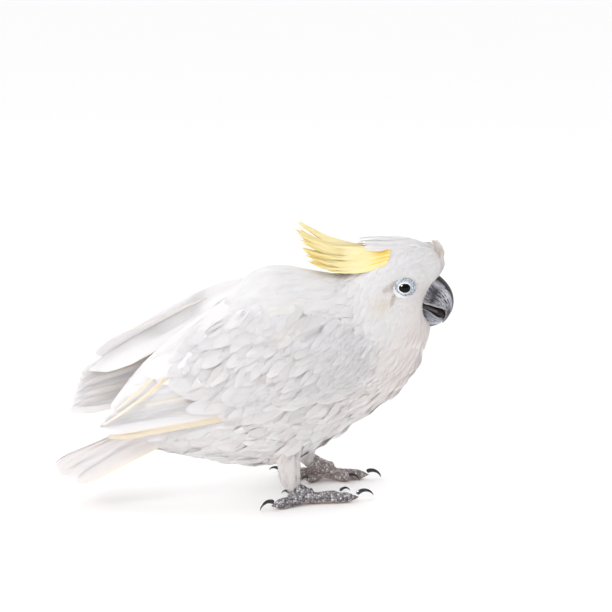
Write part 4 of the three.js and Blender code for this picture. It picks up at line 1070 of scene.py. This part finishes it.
def eye_pieces(word, side):
    centre = EYE_AT * [1, side, 1]
    bm = bmesh.new()
    bmesh.ops.create_uvsphere(bm, u_segments=48, v_segments=32, radius=7.2 * MM)
    mesh = bpy.data.meshes.new(f"eyeball_{word}")
    bm.to_mesh(mesh)
    bm.free()
    points, _ = arrays_of(mesh)
    turned = points[:, [0, 2, 1]] * [1, side, 1]
    mesh.vertices.foreach_set("co", ((turned + centre) * MM).ravel())
    mesh.polygons.foreach_set("use_smooth", np.ones(len(mesh.polygons), bool))
    set_attribute(mesh, "iris", np.hypot(turned[:, 0], turned[:, 2]) / 7.2)
    if side > 0:
        mesh.flip_normals()
    add_object(f"eyeball_{word}", mesh, EYE, [f"eye_{word}"])

    around, deep = 72, 22
    angle = np.linspace(0, 2 * math.pi, around, endpoint=False)
    r = np.linspace(-0.12, 1.0, deep)
    rings, fold_shade, lips = [], [], []
    for q in r:
        f = max(q, 0.0)
        wide = mix(OPENING[0], RING_OUT[0], f) + (q < 0) * 0.2
        high = mix(OPENING[1], RING_OUT[1], f) + (q < 0) * 0.2
        tilt = math.radians(8)
        ex, ez = wide * np.cos(angle), high * np.sin(angle)
        x, z = ex * math.cos(tilt) + ez * math.sin(tilt), ez * math.cos(tilt) - ex * math.sin(tilt)
        ball = np.sqrt(np.maximum(7.45**2 - x**2 - z**2, 0.1))
        lip = 0.75 * math.exp(-(((f - 0.09) / 0.10) ** 2))
        wrinkle = 0.22 * np.sin(2 * math.pi * (f * 3.2 + 0.12 * np.sin(3 * angle))) * math.sin(math.pi * min(1, f * 1.1))
        skin_y = 27.3 - 23.6 - 2.7 * f**1.6 + 1.0 * math.sin(math.pi * f)
        out = mix(ball, skin_y, smooth(0.0, 0.45, f)) + lip + wrinkle - (q < 0) * 0.9
        rings.append(np.stack([x, out * np.ones(around), z], 1))
        # painted shade: dark at the lids' inner edge, in the wrinkles' troughs and along the ring's rear lower edge
        crease_shade = 0.9 * (1 - smooth(0.0, 0.05, abs(q + 0.04))) + 0.45 * (wrinkle < -0.08)
        crease_shade = crease_shade + 0.6 * np.exp(-(((f - 0.95) / 0.08) ** 2)) * (1 - smooth(0.3, 0.9, np.abs(angle - math.radians(215))))
        fold_shade.append(crease_shade * np.ones(around))
        lips.append(math.exp(-(((f - 0.12) / 0.14) ** 2)) * np.ones(around))
    rings = np.array(rings) * [1, side, 1] + centre
    mesh = tube(f"eye_ring_{word}", rings, around, caps=False)
    points, _ = arrays_of(mesh)
    flat = rings.reshape(-1, 3)
    where = np.array([((flat - p) ** 2).sum(1).argmin() for p in points])
    set_attribute(mesh, "fold_shade", np.clip(np.concatenate(fold_shade)[where], 0, 1))
    set_attribute(mesh, "lip", np.clip(np.concatenate(lips)[where], 0, 1))
    made = add_object(f"eye_ring_{word}", mesh, EYE_RING, [f"eyelid_{word}"])
    thick = made.modifiers.new("thickness", "SOLIDIFY")
    thick.thickness, thick.offset = 0.5 * MM, 0


for word, side in (("right", RIGHT), ("left", LEFT)):
    eye_pieces(word, side)

# ------------------------------------------------------------------ feet

LEGS = {
    "right": {"side": RIGHT, "foot": (48, 40, 7.0), "toes": {2: (90, 23, 5.2, 7.6, 142, 28), 3: (106, 40, 5.8, 10.6, 142, 28), 4: (9, 58, 5.6, 10.4, 128, 12), 1: (31, 19, 4.6, 7, 132, 20)}},
    "left": {"side": LEFT, "foot": (82, 46, 9.0), "toes": {2: (109, 31, 5.2, 8, 122, 15), 3: (130, 40, 5.8, 10.4, 122, 13), 4: (30, 66, 5.6, 8.0, 128, 36), 1: (58, 30, 4.6, 7, 132, 20)}},
}
TOE_CENTRE = 0.86


def claw(name, start, end, numbers, node_name):
    radius, low, high = numbers
    heading = unit((end - start) * [1, 1, 0])
    wide = np.array([-heading[1], heading[0], 0])
    t = np.linspace(0, 1, 36)
    angle = np.radians(mix(low, high, t))
    size = radius / 11
    toe_radius = end[2] / TOE_CENTRE
    centre = end + heading * (-3.4 - radius * math.cos(angle[0]))
    centre[2] = toe_radius * 1.4 - radius * math.sin(angle[0])
    outward = heading[None] * np.cos(angle)[:, None] + np.array([0, 0, 1.0])[None] * np.sin(angle)[:, None]
    taper = mix(1.0, 0.12, t**1.5) * size * np.sqrt(np.clip(1 - ((t - 0.5) * 2) ** 12, 0, 1))
    turn = np.linspace(0, 2 * math.pi, 20, endpoint=False)
    rings = (centre + outward * radius)[:, None] + taper[:, None, None] * (
        wide[None, None] * 2.0 * np.cos(turn)[None, :, None] + outward[:, None] * 2.6 * (np.sin(turn) - 0.12 * np.cos(2 * turn))[None, :, None])
    rings[..., 2] = np.maximum(rings[..., 2], 0.05)
    add_object(name, tube(name, rings, 20), CLAW, [node_name])


for word, leg in LEGS.items():
    side = leg["side"]
    start = np.array([leg["foot"][0], side * leg["foot"][1], leg["foot"][2]], float)
    for number, (x, y, toe_radius, *numbers) in leg["toes"].items():
        claw(f"claw_horn_{word}_{number}", start, np.array([x, side * y, toe_radius * TOE_CENTRE]), numbers, f"claw_{word}_{number}")
    names = [f"shank_{word}"] + [f"toe_{word}_{n}" for n in (1, 2, 3, 4)]
    mesh = modified(merged_copy(f"foot_{word}", names), ("REMESH", {"mode": "VOXEL", "voxel_size": 0.75 * MM}), ("SMOOTH", {"factor": 0.5, "iterations": 5}))
    points, faces = arrays_of(mesh)
    normals = normals_of(mesh)
    cells = rng.uniform(points.min(0) - 2, points.max(0) + 2, (6000, 3))
    tree = KDTree(len(cells))
    for i, c in enumerate(cells):
        tree.insert(c, i)
    tree.balance()
    found = np.array([[d for _, _, d in tree.find_n(p, 2)] for p in points])
    raised = smooth(0.0, 1.0, found[:, 1] - found[:, 0])
    top = smooth(0.4, 2.0, points[:, 2])
    moved = points + normals * (0.42 * raised - 0.2)[:, None] * top[:, None]
    moved[:, 2] = np.maximum(moved[:, 2], 0.0)
    mesh.vertices.foreach_set("co", (moved * MM).ravel())
    mesh.polygons.foreach_set("use_smooth", np.ones(len(mesh.polygons), bool))
    set_attribute(mesh, "under", 1 - smooth(-0.9, -0.45, normals[:, 2]))
    # painted light: the far foot is painted paler and warmer than the near one
    set_attribute(mesh, "warm", np.full(len(points), 0.25 if side == LEFT else 0.05))
    add_object(f"foot_{word}", mesh, SCALES, names)

# ------------------------------------------------------------------ floor, light and camera

bm = bmesh.new()
bmesh.ops.create_grid(bm, x_segments=1, y_segments=1, size=30)
floor_mesh = bpy.data.meshes.new("floor")
bm.to_mesh(floor_mesh)
bm.free()
floor = bpy.data.objects.new("floor", floor_mesh)
bpy.context.scene.collection.objects.link(floor)
floor.location = (0, 0, -0.0002)
pale, tree, principled = new_material("floor_pale", **{"Roughness": 0.9, "Specular IOR Level": 0.1, "Base Color": linear("FEFEFE")})
floor_mesh.materials.append(pale)

# A bright sweep behind and above, darker on the viewer's side, as in a studio.
world = bpy.data.worlds.new("studio")
bpy.context.scene.world = world
world.use_nodes = True
sky = world.node_tree
toward = node(sky, "ShaderNodeSeparateXYZ", {"Vector": node(sky, "ShaderNodeTexCoord").outputs["Generated"]})
rear = node(sky, "ShaderNodeMapRange", {"Value": toward.outputs["Y"], "From Min": -0.7, "From Max": 0.6, "To Min": 0.2, "To Max": 1.0}, interpolation_type="SMOOTHSTEP")
above = maths(sky, "MULTIPLY", maths(sky, "MAXIMUM", toward.outputs["Z"], 0.0), 0.53)
sky.nodes["Background"].inputs["Color"].default_value = linear("FFFFFF")
sky.links.new(maths(sky, "ADD", rear.outputs["Result"], above), sky.nodes["Background"].inputs["Strength"])


def area_light(name, place, aim, size, watts, colour):
    data = bpy.data.lights.new(name, "AREA")
    data.shape, data.size, data.energy, data.color = "DISK", size, watts, linear(colour)[:3]
    made = bpy.data.objects.new(name, data)
    bpy.context.scene.collection.objects.link(made)
    made.location = place
    made.rotation_euler = (Vector(aim) - Vector(place)).to_track_quat("-Z", "Y").to_euler()
    return made


area_light("key", (-1.67, -1.04, 1.58), (0.0, 0.0, 0.15), 0.7, 13, "FFFDFA")
area_light("fill", (-0.35, -2.4, 0.9), (0.0, 0.0, 0.15), 1.8, 20.5, "FFFFFF").visible_glossy = False
area_light("sparkle", (-1.67, -1.04, 1.58), (0.154, -0.02, 0.226), 0.9, 480, "FFFFFF").visible_diffuse = False

CAMERA = {"azimuth": -8.0, "pitch": 12.0, "target": (0.054, 0.0, 0.204), "distance": 2.2, "mm_per_px": 1.05}
camera_data = bpy.data.cameras.new("camera")
camera_data.sensor_width = 36
camera_data.lens = 36 * CAMERA["distance"] / (612 * CAMERA["mm_per_px"] * MM)
camera_data.clip_end = 100
camera = bpy.data.objects.new("camera", camera_data)
bpy.context.scene.collection.objects.link(camera)
a, e = math.radians(CAMERA["azimuth"]), math.radians(CAMERA["pitch"])
back = Vector((math.sin(a) * math.cos(e), -math.cos(a) * math.cos(e), math.sin(e)))
camera.location = Vector(CAMERA["target"]) + back * CAMERA["distance"]
camera.rotation_euler = (-back).to_track_quat("-Z", "Y").to_euler()
bpy.context.scene.camera = camera
bpy.context.scene.view_settings.view_transform = "Standard"
